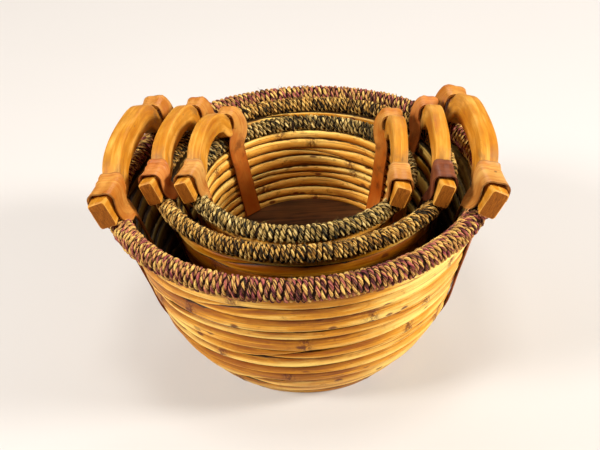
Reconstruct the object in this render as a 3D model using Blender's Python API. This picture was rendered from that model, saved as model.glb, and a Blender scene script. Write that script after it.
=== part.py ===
"""Nest of three round cane baskets with rope-wound rims, bent-wood handles and strap ties.

Blender 4.5, metres, +Z up. The origin is at the middle of the large basket's underside.
Each basket has its own empty at the middle of its underside, on the line that it lifts out along.
"""

import math
from dataclasses import dataclass

import bmesh
import bpy
from mathutils import Vector

# Clearances
SEAT_GAP = 0.0003                  # between pieces that rest on each other
COURSE_GAP = 0.0006                # between one cane course and the next
STRAP_PLAY = 0.0009                # between a strap and the foot that it loops over
ANKLE_HOLLOW = 0.003               # radius of the hollow where a handle's foot turns up

# The large basket's sizes, which the other two follow
LARGE_RIM_RADIUS = 0.198           # to the middle of the rim's thickness
LARGE_RIM_HEIGHT = 0.205           # to the middle of the rim's thickness
LARGE_RIM_THICKNESS = 0.024
LARGE_CANE_DEPTH = 0.013
LARGE_FLOOR = 0.008
LARGE_HANDLE_HEIGHT = 0.065        # arch top above the rim's middle
LARGE_HANDLE_WIDTH = 0.027         # section within the handle's plane
LARGE_HANDLE_DEPTH = 0.020         # section across the handle's plane
LARGE_STRAP_WIDTH = 0.022
LARGE_STRAP_THICKNESS = 0.0028
LARGE_LEG_STAND_OFF = 0.004        # inner strap leg to the wall, halfway down
LARGE_FAR_FOOT_TRIM = 0.008        # how much shorter each handle's far foot is than its near one

# The medium basket's sizes
MEDIUM_RIM_STEP = 0.043            # large rim's middle to this rim's: room for both baskets' handle feet
MEDIUM_RIM_RADIUS = LARGE_RIM_RADIUS - MEDIUM_RIM_STEP
MEDIUM_RIM_RISE = 0.0068           # rim's middle above the large rim's
MEDIUM_RIM_THICKNESS = 0.019
MEDIUM_CANE_DEPTH = 0.011
MEDIUM_FLOOR = 0.007
MEDIUM_HANDLE_HEIGHT = 0.056
MEDIUM_HANDLE_WIDTH = 0.024
MEDIUM_HANDLE_DEPTH = 0.016
MEDIUM_STRAP_WIDTH = 0.018
MEDIUM_STRAP_THICKNESS = 0.0024
MEDIUM_RIGHT = 0.006               # nest's middle to the medium basket's middle
MEDIUM_BACK = 0.005
MEDIUM_FAR_FOOT_TRIM = 0.003

# The small basket's sizes
SMALL_RIM_STEP = 0.0397            # medium rim's middle to this rim's
SMALL_RIM_RADIUS = MEDIUM_RIM_RADIUS - SMALL_RIM_STEP
SMALL_RIM_RISE = 0.006
SMALL_DEPTH = 0.0975               # underside to the rim's middle
SMALL_RIM_THICKNESS = 0.019
SMALL_CANE_DEPTH = 0.009
SMALL_FLOOR = 0.007
SMALL_HANDLE_HEIGHT = 0.056
SMALL_HANDLE_WIDTH = 0.022
SMALL_HANDLE_DEPTH = 0.016
SMALL_STRAP_WIDTH = 0.016
SMALL_STRAP_THICKNESS = 0.0024
SMALL_RIGHT = 0.003
SMALL_FAR_FOOT_TRIM = 0.007

# Widths of the cane courses along the wall, lowest first, as shares of the whole
LARGE_COURSE_SHARES = (0.09, 0.115, 0.10, 0.085, 0.06, 0.07, 0.07, 0.09, 0.05, 0.10, 0.08, 0.09)
MEDIUM_COURSE_SHARES = (0.09, 0.12, 0.10, 0.08, 0.11, 0.07, 0.10, 0.09, 0.11, 0.07, 0.06)
SMALL_COURSE_SHARES = (0.09, 0.12, 0.115, 0.095, 0.105, 0.13, 0.13, 0.125, 0.09)

# Shares and counts that the three baskets have in common
BELLY_SHARE = 0.36                 # part of the wall's height that its rounded foot takes
BELLY_POWER = 1.6                  # how quickly the foot of the wall rounds in
HOOP_SIDES = 6
RIM_SIDES = 8
PROFILE_STEPS = 200                # steps that measure the wall's length
ROPE_VALLEY_SHARE = 0.88           # rim radius between two turns, to that on a turn
FLOOR_STEPS = 48
BEND_STEPS = 4                     # path points on a handle's bend at its ankle
ARCH_STEPS = 7                     # path points on each half of a handle's arch
CORNER_SHARE = 0.2                 # corner cut of the handle's section, to its smaller side
FOOT_TWIST = 14.0                  # degrees that a handle's section leans outwards at its foot's end
ANKLE_TURN = 62.0                  # degrees that a foot turns up at its ankle
ARCH_PULL_SHARE = 0.46             # how far the arch keeps level from its top, to its half span
SHOULDER_SHARE = 0.25              # how far the ankle's slope runs on into the arch, to its half span
LEG_BEND_SHARE = 0.45              # height where an inner strap leg bends, to the wall's height
STRAP_TUCK_SHARE = 0.3             # how far a strap stays square below a foot's middle, to the foot's width
LEG_START_SHARE = 0.75             # an inner leg's start above the floor, to its clearance


@dataclass
class Handle:
    """One bent-wood handle: where its middle stands, and how far its plane leans outwards."""

    side: str
    azimuth: float
    lean: float


@dataclass
class Basket:
    """Sizes of one basket, in metres and degrees, in the frame of its underside's middle."""

    name: str
    centre: tuple
    base_height: float           # underside above the large basket's underside
    rim_radius: float
    rim_height: float
    rim_thickness: float
    wall_foot_share: float       # radius of the wall's middle at its lowest, to the rim's
    wall_inset_share: float      # rim's middle to the wall's middle below it, to the rim's thickness
    flare_share: float           # part of the flare that runs evenly up the wall
    cane_depth: float            # course thickness from outside to inside
    course_shares: tuple
    hoop_steps: int              # straight steps around one cane hoop
    rope_turns: int
    floor_thickness: float
    handle_span_share: float     # handle's middle to its foot's end, to the rim's radius
    handle_height: float
    handle_depth: float
    handle_width: float
    strap_span_share: float      # handle's middle to the strap's middle, to the rim's radius
    strap_width: float
    strap_thickness: float
    leg_stand_off: float
    outer_leg_share: float       # height where the outer leg meets the wall, to the rim's height
    outer_leg_drift: float       # degrees that the outer leg slants towards below the handle's middle
    far_foot_trim: float         # how much shorter a handle's far foot is than its near one
    handles: tuple

    @property
    def wall_foot_radius(self):
        """Radius to the middle of the wall's thickness, at its lowest."""
        return self.rim_radius * self.wall_foot_share

    @property
    def wall_top_radius(self):
        """Radius to the middle of the wall's thickness, under the rim."""
        return self.rim_radius - self.rim_thickness * self.wall_inset_share

    @property
    def handle_half_span(self):
        """From the handle's middle to its foot's end."""
        return self.rim_radius * self.handle_span_share

    @property
    def strap_half_span(self):
        """From the handle's middle to the strap's middle."""
        return self.rim_radius * self.strap_span_share


MEDIUM_BASE = LARGE_FLOOR + SEAT_GAP
SMALL_BASE = LARGE_RIM_HEIGHT + SMALL_RIM_RISE - SMALL_DEPTH

LARGE = Basket(
    name="large",
    centre=(0.0, 0.0),
    base_height=0.0,
    rim_radius=LARGE_RIM_RADIUS,
    rim_height=LARGE_RIM_HEIGHT,
    rim_thickness=LARGE_RIM_THICKNESS,
    wall_foot_share=0.5455,
    wall_inset_share=0.354,
    flare_share=0.65,
    cane_depth=LARGE_CANE_DEPTH,
    course_shares=LARGE_COURSE_SHARES,
    hoop_steps=24,
    rope_turns=60,
    floor_thickness=LARGE_FLOOR,
    handle_span_share=0.612,
    handle_height=LARGE_HANDLE_HEIGHT,
    handle_depth=LARGE_HANDLE_DEPTH,
    handle_width=LARGE_HANDLE_WIDTH,
    strap_span_share=0.445,
    strap_width=LARGE_STRAP_WIDTH,
    strap_thickness=LARGE_STRAP_THICKNESS,
    leg_stand_off=LARGE_LEG_STAND_OFF,
    outer_leg_share=0.34,
    outer_leg_drift=9.0,
    far_foot_trim=LARGE_FAR_FOOT_TRIM,
    handles=(Handle("right", 2.0, 16.0), Handle("left", 169.5, 8.0)),
)
MEDIUM = Basket(
    name="medium",
    centre=(MEDIUM_RIGHT, MEDIUM_BACK),
    base_height=MEDIUM_BASE,
    rim_radius=MEDIUM_RIM_RADIUS,
    rim_height=LARGE_RIM_HEIGHT + MEDIUM_RIM_RISE - MEDIUM_BASE,
    rim_thickness=MEDIUM_RIM_THICKNESS,
    wall_foot_share=0.49,
    wall_inset_share=0.395,
    flare_share=0.65,
    cane_depth=MEDIUM_CANE_DEPTH,
    course_shares=MEDIUM_COURSE_SHARES,
    hoop_steps=20,
    rope_turns=48,
    floor_thickness=MEDIUM_FLOOR,
    handle_span_share=0.632,
    handle_height=MEDIUM_HANDLE_HEIGHT,
    handle_depth=MEDIUM_HANDLE_DEPTH,
    handle_width=MEDIUM_HANDLE_WIDTH,
    strap_span_share=0.4645,
    strap_width=MEDIUM_STRAP_WIDTH,
    strap_thickness=MEDIUM_STRAP_THICKNESS,
    leg_stand_off=LARGE_LEG_STAND_OFF,
    outer_leg_share=0.55,
    outer_leg_drift=5.0,
    far_foot_trim=MEDIUM_FAR_FOOT_TRIM,
    handles=(Handle("right", -2.0, 8.0), Handle("left", 166.0, 8.0)),
)
SMALL = Basket(
    name="small",
    centre=(SMALL_RIGHT, 0.0),
    base_height=SMALL_BASE,
    rim_radius=SMALL_RIM_RADIUS,
    rim_height=SMALL_DEPTH,
    rim_thickness=SMALL_RIM_THICKNESS,
    wall_foot_share=0.841,
    wall_inset_share=0.279,
    flare_share=0.5,
    cane_depth=SMALL_CANE_DEPTH,
    course_shares=SMALL_COURSE_SHARES,
    hoop_steps=20,
    rope_turns=40,
    floor_thickness=SMALL_FLOOR,
    handle_span_share=0.763,
    handle_height=SMALL_HANDLE_HEIGHT,
    handle_depth=SMALL_HANDLE_DEPTH,
    handle_width=SMALL_HANDLE_WIDTH,
    strap_span_share=0.529,
    strap_width=SMALL_STRAP_WIDTH,
    strap_thickness=SMALL_STRAP_THICKNESS,
    leg_stand_off=LARGE_LEG_STAND_OFF / 2,
    outer_leg_share=0.55,
    outer_leg_drift=5.0,
    far_foot_trim=SMALL_FAR_FOOT_TRIM,
    handles=(Handle("right", -2.5, 8.0), Handle("left", 163.5, 8.0)),
)


def clear_scene():
    """Remove what a new scene starts with."""
    for item in list(bpy.data.objects):
        bpy.data.objects.remove(item, do_unlink=True)


def make_material(name, colour, roughness):
    """Return a Principled material of one colour."""
    material = bpy.data.materials.new(name)
    material.use_nodes = True
    shader = material.node_tree.nodes["Principled BSDF"]
    shader.inputs["Base Color"].default_value = (*colour, 1.0)
    shader.inputs["Roughness"].default_value = roughness
    shader.inputs["Metallic"].default_value = 0.0
    return material


def cane_material(basket, index):
    """Golden rattan, a little different from course to course."""
    warmth = 0.04 * math.sin(2.4 * index)
    return make_material(f"cane_{basket.name}_{index:02d}", (0.62 + warmth, 0.36 + warmth / 2, 0.11), 0.45)


def rope_material(basket):
    """Twisted seagrass, in the mean colour of each basket's rim."""
    colours = {"large": (0.36, 0.24, 0.19), "medium": (0.34, 0.27, 0.13), "small": (0.36, 0.35, 0.22)}
    return make_material(f"rope_{basket.name}", colours[basket.name], 0.85)


def handle_material(basket, handle):
    """Honey-coloured bent wood."""
    return make_material(f"wood_{basket.name}_{handle.side}", (0.66, 0.38, 0.14), 0.4)


def strap_material(basket, label):
    """Tan to reddish-brown peel."""
    return make_material(f"peel_{basket.name}_{label}", (0.42, 0.2, 0.09), 0.5)


def floor_material(basket):
    """Dark brown board."""
    return make_material(f"board_{basket.name}", (0.13, 0.07, 0.035), 0.55)


def add_object(name, bm, material, parent):
    """Turn a bmesh into a named object in the frame of its basket's empty."""
    bmesh.ops.recalc_face_normals(bm, faces=bm.faces)
    mesh = bpy.data.meshes.new(name)
    bm.to_mesh(mesh)
    bm.free()
    mesh.shade_smooth()
    mesh.set_sharp_from_angle(angle=math.radians(40))
    mesh.materials.append(material)
    item = bpy.data.objects.new(name, mesh)
    bpy.context.collection.objects.link(item)
    item.parent = parent
    return item


def skin(sections, closed):
    """Return a bmesh that joins sections of equal length, with end faces unless it closes."""
    bm = bmesh.new()
    rows = [[bm.verts.new(point) for point in section] for section in sections]
    pairs = list(zip(rows, rows[1:]))
    if closed:
        pairs.append((rows[-1], rows[0]))
    for low, high in pairs:
        for index in range(len(low)):
            after = (index + 1) % len(low)
            bm.faces.new((low[index], low[after], high[after], high[index]))
    if not closed:
        bm.faces.new(rows[0])
        bm.faces.new(rows[-1])
    return bm


def around(azimuth):
    """Return the outward and the tangent direction at an azimuth in radians."""
    outward = Vector((math.cos(azimuth), math.sin(azimuth), 0.0))
    tangent = Vector((-math.sin(azimuth), math.cos(azimuth), 0.0))
    return outward, tangent


def wall_top(basket):
    """Height where the highest course meets the rim, below the rim's rounded underside."""
    rim_half = basket.rim_thickness / 2
    inset = basket.rim_radius - (basket.wall_top_radius + basket.cane_depth / 4)
    return basket.rim_height - math.sqrt(rim_half ** 2 - inset ** 2) - SEAT_GAP


def wall_bottom(basket):
    """Height where the wall starts, so that the lowest hoop's tilted corners stay above the underside."""
    return basket.cane_depth / 4


def wall_radius(basket, height):
    """Radius to the wall's middle: an even flare, plus a foot that rounds in over its lowest part."""
    bottom = wall_bottom(basket)
    share = (height - bottom) / (wall_top(basket) - bottom)
    foot = 1.0 - (1.0 - min(share / BELLY_SHARE, 1.0)) ** BELLY_POWER
    rise = basket.flare_share * share + (1.0 - basket.flare_share) * foot
    return basket.wall_foot_radius + (basket.wall_top_radius - basket.wall_foot_radius) * rise


def wall_levels(basket):
    """Return the (radius, height) of each joint between courses, by their shares of the wall's length."""
    bottom = wall_bottom(basket)
    points = []
    for step in range(PROFILE_STEPS + 1):
        height = bottom + (wall_top(basket) - bottom) * step / PROFILE_STEPS
        points.append((wall_radius(basket, height), height))
    lengths = [0.0]
    for low, high in zip(points, points[1:]):
        lengths.append(lengths[-1] + math.dist(low, high))
    levels = []
    step = 0
    for course in range(len(basket.course_shares) + 1):
        wanted = lengths[-1] * sum(basket.course_shares[:course]) / sum(basket.course_shares)
        while step < PROFILE_STEPS - 1 and lengths[step + 1] < wanted:
            step += 1
        share = (wanted - lengths[step]) / (lengths[step + 1] - lengths[step])
        low, high = points[step], points[step + 1]
        levels.append((low[0] + (high[0] - low[0]) * share, low[1] + (high[1] - low[1]) * share))
    return levels


def inner_face(basket, height):
    """Radius of the wall's inner face at a height, measured to the middle of a hoop's straight step."""
    return (wall_radius(basket, height) - basket.cane_depth / 2) * math.cos(math.pi / basket.hoop_steps)


def hoop_profile(basket, low, high):
    """Return a hoop's (radius, height) corners, its outermost first, flat towards its neighbours."""
    along = Vector((high[0] - low[0], high[1] - low[1]))
    pitch = along.length
    along.normalize()
    across = Vector((along.y, -along.x))
    middle = (Vector(low) + Vector(high)) / 2
    half_depth = basket.cane_depth / 2
    half_pitch = (pitch - COURSE_GAP) / 2 / math.sin(math.radians(60))
    profile = []
    for side in range(HOOP_SIDES):
        turn = 2 * math.pi * side / HOOP_SIDES
        profile.append(middle + across * half_depth * math.cos(turn) + along * half_pitch * math.sin(turn))
    return profile


def add_hoop(basket, parent, index, profile):
    """Add one cane hoop of the given profile."""
    sections = []
    for step in range(basket.hoop_steps):
        outward, _ = around(2 * math.pi * step / basket.hoop_steps)
        sections.append([outward * point.x + Vector((0, 0, point.y)) for point in profile])
    name = f"{basket.name}_cane_hoop_{index:02d}"
    return add_object(name, skin(sections, True), cane_material(basket, index), parent)


def add_wall(basket, parent):
    """Add the stacked cane hoops, lowest first."""
    levels = wall_levels(basket)
    for index, (low, high) in enumerate(zip(levels, levels[1:]), start=1):
        add_hoop(basket, parent, index, hoop_profile(basket, low, high))


def floor_radius(basket):
    """Outer radius of the floor board, which fits inside the lowest hoop."""
    inner = min(point.x for point in hoop_profile(basket, *wall_levels(basket)[:2]))
    return inner * math.cos(math.pi / basket.hoop_steps) - SEAT_GAP


def add_floor(basket, parent):
    """Add the flat round floor board, whose underside carries the basket."""
    bm = bmesh.new()
    radius = floor_radius(basket)
    bmesh.ops.create_cone(bm, cap_ends=True, segments=FLOOR_STEPS, radius1=radius, radius2=radius,
                          depth=basket.floor_thickness)
    bmesh.ops.translate(bm, verts=bm.verts, vec=(0, 0, basket.floor_thickness / 2))
    return add_object(f"{basket.name}_floor_board", bm, floor_material(basket), parent)


def add_rim(basket, parent):
    """Add the rim: a ring whose ribs are the turns of rope wound round it."""
    sections = []
    for step in range(2 * basket.rope_turns):
        outward, _ = around(math.pi * step / basket.rope_turns)
        reach = basket.rim_thickness / 2
        if step % 2:
            reach *= ROPE_VALLEY_SHARE
        section = []
        for side in range(RIM_SIDES):
            turn = 2 * math.pi * side / RIM_SIDES
            radius = basket.rim_radius + reach * math.cos(turn)
            section.append(outward * radius + Vector((0, 0, basket.rim_height + reach * math.sin(turn))))
        sections.append(section)
    return add_object(f"{basket.name}_rope_rim", skin(sections, True), rope_material(basket), parent)


def handle_frame(basket, handle):
    """Return a handle's foot-line origin and its directions: along, up its plane, and out of it."""
    outward, tangent = around(math.radians(handle.azimuth))
    lean = math.radians(handle.lean)
    up = Vector((0, 0, math.cos(lean))) + outward * math.sin(lean)
    out = outward * math.cos(lean) - Vector((0, 0, math.sin(lean)))
    chord = math.sqrt(basket.rim_radius ** 2 - basket.strap_half_span ** 2)
    origin = outward * chord + Vector((0, 0, basket.rim_height))
    return origin, tangent, up, out


def foot_height(basket, handle):
    """Height of the foot's middle line above the rim's middle, within the handle's leaning plane.

    The round rim rises into a leaning plane towards the ankle, so the foot is lifted by that rise.
    """
    ankle = basket.strap_half_span - basket.strap_width / 2
    chord = math.sqrt(basket.rim_radius ** 2 - basket.strap_half_span ** 2)
    bulge = math.sqrt(basket.rim_radius ** 2 - ankle ** 2) - chord
    rise = bulge * math.sin(math.radians(handle.lean))
    return basket.rim_thickness / 2 + rise + SEAT_GAP + basket.handle_width / 2


def arch_point(start, start_pull, end_pull, end, share):
    """Return the point at a share of the way along a smooth curve with two pulls."""
    rest = 1 - share
    return (start * rest ** 3 + start_pull * 3 * rest ** 2 * share
            + end_pull * 3 * rest * share ** 2 + end * share ** 3)


def handle_points(basket, handle, trim):
    """Return half of the handle's middle line, from the foot's end, cut by a trim, to the arch's top.

    The foot runs level under its strap, turns up along one round bend, and goes on into the arch.
    """
    foot = foot_height(basket, handle)
    top = basket.handle_height - basket.handle_width / 2
    strap_half = basket.strap_width / 2
    bend_start = basket.strap_half_span - strap_half - SEAT_GAP
    radius = basket.handle_width / 2 + ANKLE_HOLLOW
    whole_turn = math.radians(ANKLE_TURN)
    points = [
        Vector((basket.handle_half_span - trim, foot)),
        Vector((basket.strap_half_span + strap_half, foot)),
        Vector((bend_start, foot)),
    ]
    for step in range(1, BEND_STEPS + 1):
        turn = whole_turn * step / BEND_STEPS
        points.append(Vector((bend_start - radius * math.sin(turn), foot + radius * (1 - math.cos(turn)))))
    shoulder = points[-1]
    slope = Vector((-math.cos(whole_turn), math.sin(whole_turn)))
    crown = Vector((0.0, top))
    shoulder_pull = shoulder + slope * shoulder.x * SHOULDER_SHARE
    crown_pull = crown + Vector((shoulder.x * ARCH_PULL_SHARE, 0.0))
    for step in range(1, ARCH_STEPS + 1):
        points.append(arch_point(shoulder, shoulder_pull, crown_pull, crown, step / ARCH_STEPS))
    return points


def add_handle(basket, parent, handle):
    """Add one omega-shaped handle: a flat-sided bar bent within one leaning plane."""
    origin, tangent, up, out = handle_frame(basket, handle)
    trims = (0.0, basket.far_foot_trim) if handle.side == "right" else (basket.far_foot_trim, 0.0)
    first, second = (handle_points(basket, handle, trim) for trim in trims)
    path = [Vector((-point.x, point.y)) for point in first[:-1]] + second[::-1]
    cut = CORNER_SHARE * min(basket.handle_depth, basket.handle_width)
    wide = basket.handle_width / 2
    deep = basket.handle_depth / 2
    corners = [(wide, deep - cut), (wide - cut, deep), (cut - wide, deep), (-wide, deep - cut),
               (-wide, cut - deep), (cut - wide, -deep), (wide - cut, -deep), (wide, cut - deep)]
    sections = []
    for index, point in enumerate(path):
        before = path[max(index - 1, 0)]
        after = path[min(index + 1, len(path) - 1)]
        forward = (after - before).normalized()
        normal = Vector((-forward.y, forward.x))
        strap_edge = basket.strap_half_span + basket.strap_width / 2
        past_strap = max(abs(point.x) - strap_edge, 0.0)
        twist = math.radians(FOOT_TWIST) * past_strap / (basket.handle_half_span - strap_edge)
        section = []
        for across, depth in corners:
            turned = across * math.cos(twist) - depth * math.sin(twist)
            place = point + normal * turned
            reach = depth * math.cos(twist) + across * math.sin(twist)
            section.append(origin + tangent * place.x + up * place.y + out * reach)
        sections.append(section)
    name = f"{basket.name}_handle_{handle.side}"
    return add_object(name, skin(sections, False), handle_material(basket, handle), parent)


def leg_bend(basket, guest, azimuth):
    """Return the (radius, height) where the inner leg bends: at the wall, or under a guest basket.

    The guest's lowest hoop rests on the four legs, so each leg passes just outside that hoop.
    """
    clear = basket.strap_thickness / 2 + SEAT_GAP
    if guest is None:
        height = wall_top(basket) * LEG_BEND_SHARE
        return inner_face(basket, height) - basket.leg_stand_off - clear, height
    outward, tangent = around(azimuth)
    offset = Vector((guest.centre[0] - basket.centre[0], guest.centre[1] - basket.centre[1], 0.0))
    corner = hoop_profile(guest, *wall_levels(guest)[:2])[0]
    reach = offset.dot(outward) + math.sqrt(corner.x ** 2 - offset.dot(tangent) ** 2)
    return reach + clear, guest.base_height - basket.base_height + corner.y


def leg_face(outward, low, high):
    """Return the direction square to a leg, outwards within its upright plane."""
    along = high - low
    return (outward * along.z - Vector((0, 0, along.dot(outward)))).normalized()


def strap_stations(basket, guest, handle, sign):
    """Return the strap's middle points, each with its width's and its outer face's direction.

    The strap climbs inside the wall, loops square over the handle's foot, and comes down outside.
    """
    origin, along, up, out = handle_frame(basket, handle)
    chord = math.sqrt(basket.rim_radius ** 2 - basket.strap_half_span ** 2)
    azimuth = math.radians(handle.azimuth) + sign * math.atan2(basket.strap_half_span, chord)
    outward, tangent = around(azimuth)
    clear = basket.strap_thickness / 2 + SEAT_GAP
    rim_half = basket.rim_thickness / 2
    foot = origin + along * sign * basket.strap_half_span + up * foot_height(basket, handle)
    deep = basket.handle_depth / 2 + STRAP_PLAY + basket.strap_thickness / 2
    wide = basket.handle_width / 2 + STRAP_PLAY + basket.strap_thickness / 2
    low = basket.handle_width * STRAP_TUCK_SHARE

    def at(radius, height):
        return outward * radius + Vector((0, 0, height))

    floor_edge = floor_radius(basket) - clear - basket.cane_depth / 4
    inner_side = min(basket.rim_radius - rim_half, inner_face(basket, wall_top(basket)))
    meet_height = basket.rim_height * basket.outer_leg_share
    outer_face = wall_radius(basket, meet_height) + basket.cane_depth / 2
    start = at(floor_edge, basket.floor_thickness + clear * LEG_START_SHARE)
    bend = at(*leg_bend(basket, guest, azimuth))
    inside = at(inner_side - clear - SEAT_GAP, basket.rim_height)
    outside = at(basket.rim_radius + rim_half + clear + SEAT_GAP, basket.rim_height)
    end_outward, end_tangent = around(azimuth - sign * math.radians(basket.outer_leg_drift))
    end = end_outward * (outer_face + clear) + Vector((0, 0, meet_height))
    return [
        (start, tangent, -leg_face(outward, start, bend)),
        (bend, tangent, -leg_face(outward, start, inside)),
        (inside, tangent, -leg_face(outward, bend, inside)),
        (foot - out * deep - up * low, along, -out),
        (foot - out * deep + up * wide, along, up - out),
        (foot + out * deep + up * wide, along, up + out),
        (foot + out * deep - up * low, along, out),
        (outside, tangent, outward),
        (end, end_tangent, leg_face(end_outward, end, outside)),
    ]


def add_strap(basket, guest, parent, handle, sign, label):
    """Add one strap: a flat band over a handle's foot, with a leg down each side of the wall."""
    half_width = basket.strap_width / 2
    half_thick = basket.strap_thickness / 2
    sections = []
    for point, width, face in strap_stations(basket, guest, handle, sign):
        sections.append([point + width * half_width + face * half_thick,
                         point - width * half_width + face * half_thick,
                         point - width * half_width - face * half_thick,
                         point + width * half_width - face * half_thick])
    name = f"{basket.name}_strap_{label}"
    return add_object(name, skin(sections, False), strap_material(basket, label), parent)


def add_basket(basket, guest=None):
    """Add one whole basket under its own empty, fitted to the guest that rests on its straps."""
    parent = bpy.data.objects.new(f"{basket.name}_basket", None)
    bpy.context.collection.objects.link(parent)
    parent.location = (*basket.centre, basket.base_height)
    add_floor(basket, parent)
    add_wall(basket, parent)
    add_rim(basket, parent)
    for handle in basket.handles:
        add_handle(basket, parent, handle)
        nearer = -1 if handle.side == "right" else 1
        add_strap(basket, guest, parent, handle, nearer, f"{handle.side}_near")
        add_strap(basket, guest, parent, handle, -nearer, f"{handle.side}_far")
    return parent


def main():
    """Build the nest, outermost basket first."""
    clear_scene()
    add_basket(LARGE)
    add_basket(MEDIUM, guest=SMALL)
    add_basket(SMALL)


main()
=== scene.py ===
"""Looks of a nest of three round cane baskets with rope-wound rims, bent-wood handles and straps.

Metres, in the row frame: +Z up, and the photograph's viewer on the -Y side. Each basket's pieces are
worked out in the frame of its underside's middle, from the same sizes as its solids, and then moved
to its place.
"""

import logging
import math
from dataclasses import dataclass, field
from enum import Enum

import bpy
import numpy as np
from mathutils import Matrix, Vector


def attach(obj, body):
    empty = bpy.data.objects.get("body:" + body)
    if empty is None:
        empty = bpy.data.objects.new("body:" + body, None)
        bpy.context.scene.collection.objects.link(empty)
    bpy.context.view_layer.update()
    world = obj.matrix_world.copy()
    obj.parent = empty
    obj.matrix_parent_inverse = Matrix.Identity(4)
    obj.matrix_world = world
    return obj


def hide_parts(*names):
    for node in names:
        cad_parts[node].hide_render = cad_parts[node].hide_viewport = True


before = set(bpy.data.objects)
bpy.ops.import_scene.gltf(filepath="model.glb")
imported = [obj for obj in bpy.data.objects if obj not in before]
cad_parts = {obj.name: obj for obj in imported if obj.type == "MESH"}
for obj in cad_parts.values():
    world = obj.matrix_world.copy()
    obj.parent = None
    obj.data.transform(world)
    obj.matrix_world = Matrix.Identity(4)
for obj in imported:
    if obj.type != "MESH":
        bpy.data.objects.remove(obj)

logging.basicConfig(level=logging.INFO, format="%(message)s")
log = logging.getLogger("baskets")

Array = np.ndarray
Socket = bpy.types.NodeSocket
Colour = tuple[float, float, float]
Stops = tuple[tuple[float, Colour], ...]
Tufts = tuple[tuple[float, float, float, float, float, float], ...]

UV_PER_METRE = 10.0                # one unit of a piece's own UV map is 100 mm
SEAT_GAP = 0.0003                  # between pieces that rest on each other
FULL_TURN = 2 * np.pi
UPRIGHT = np.array([0.0, 0.0, 1.0])


def linear(colour: Colour) -> tuple[float, float, float, float]:
    """Turn a colour as seen, 0 to 255, into the shader's own linear values, with full alpha.

    Args:
        colour: its red, green and blue, 0 to 255.
    Returns:
        Its red, green, blue and alpha, 0 to 1.
    """
    share = np.asarray(colour, float) / 255.0
    curved = ((share + 0.055) / 1.055) ** 2.4
    return (*np.where(share <= 0.04045, share / 12.92, curved).tolist(), 1.0)


class Axis(Enum):
    """Which of a piece's own coordinates a pattern reads."""

    OBJECT = "Object"
    UV = "UV"


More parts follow.
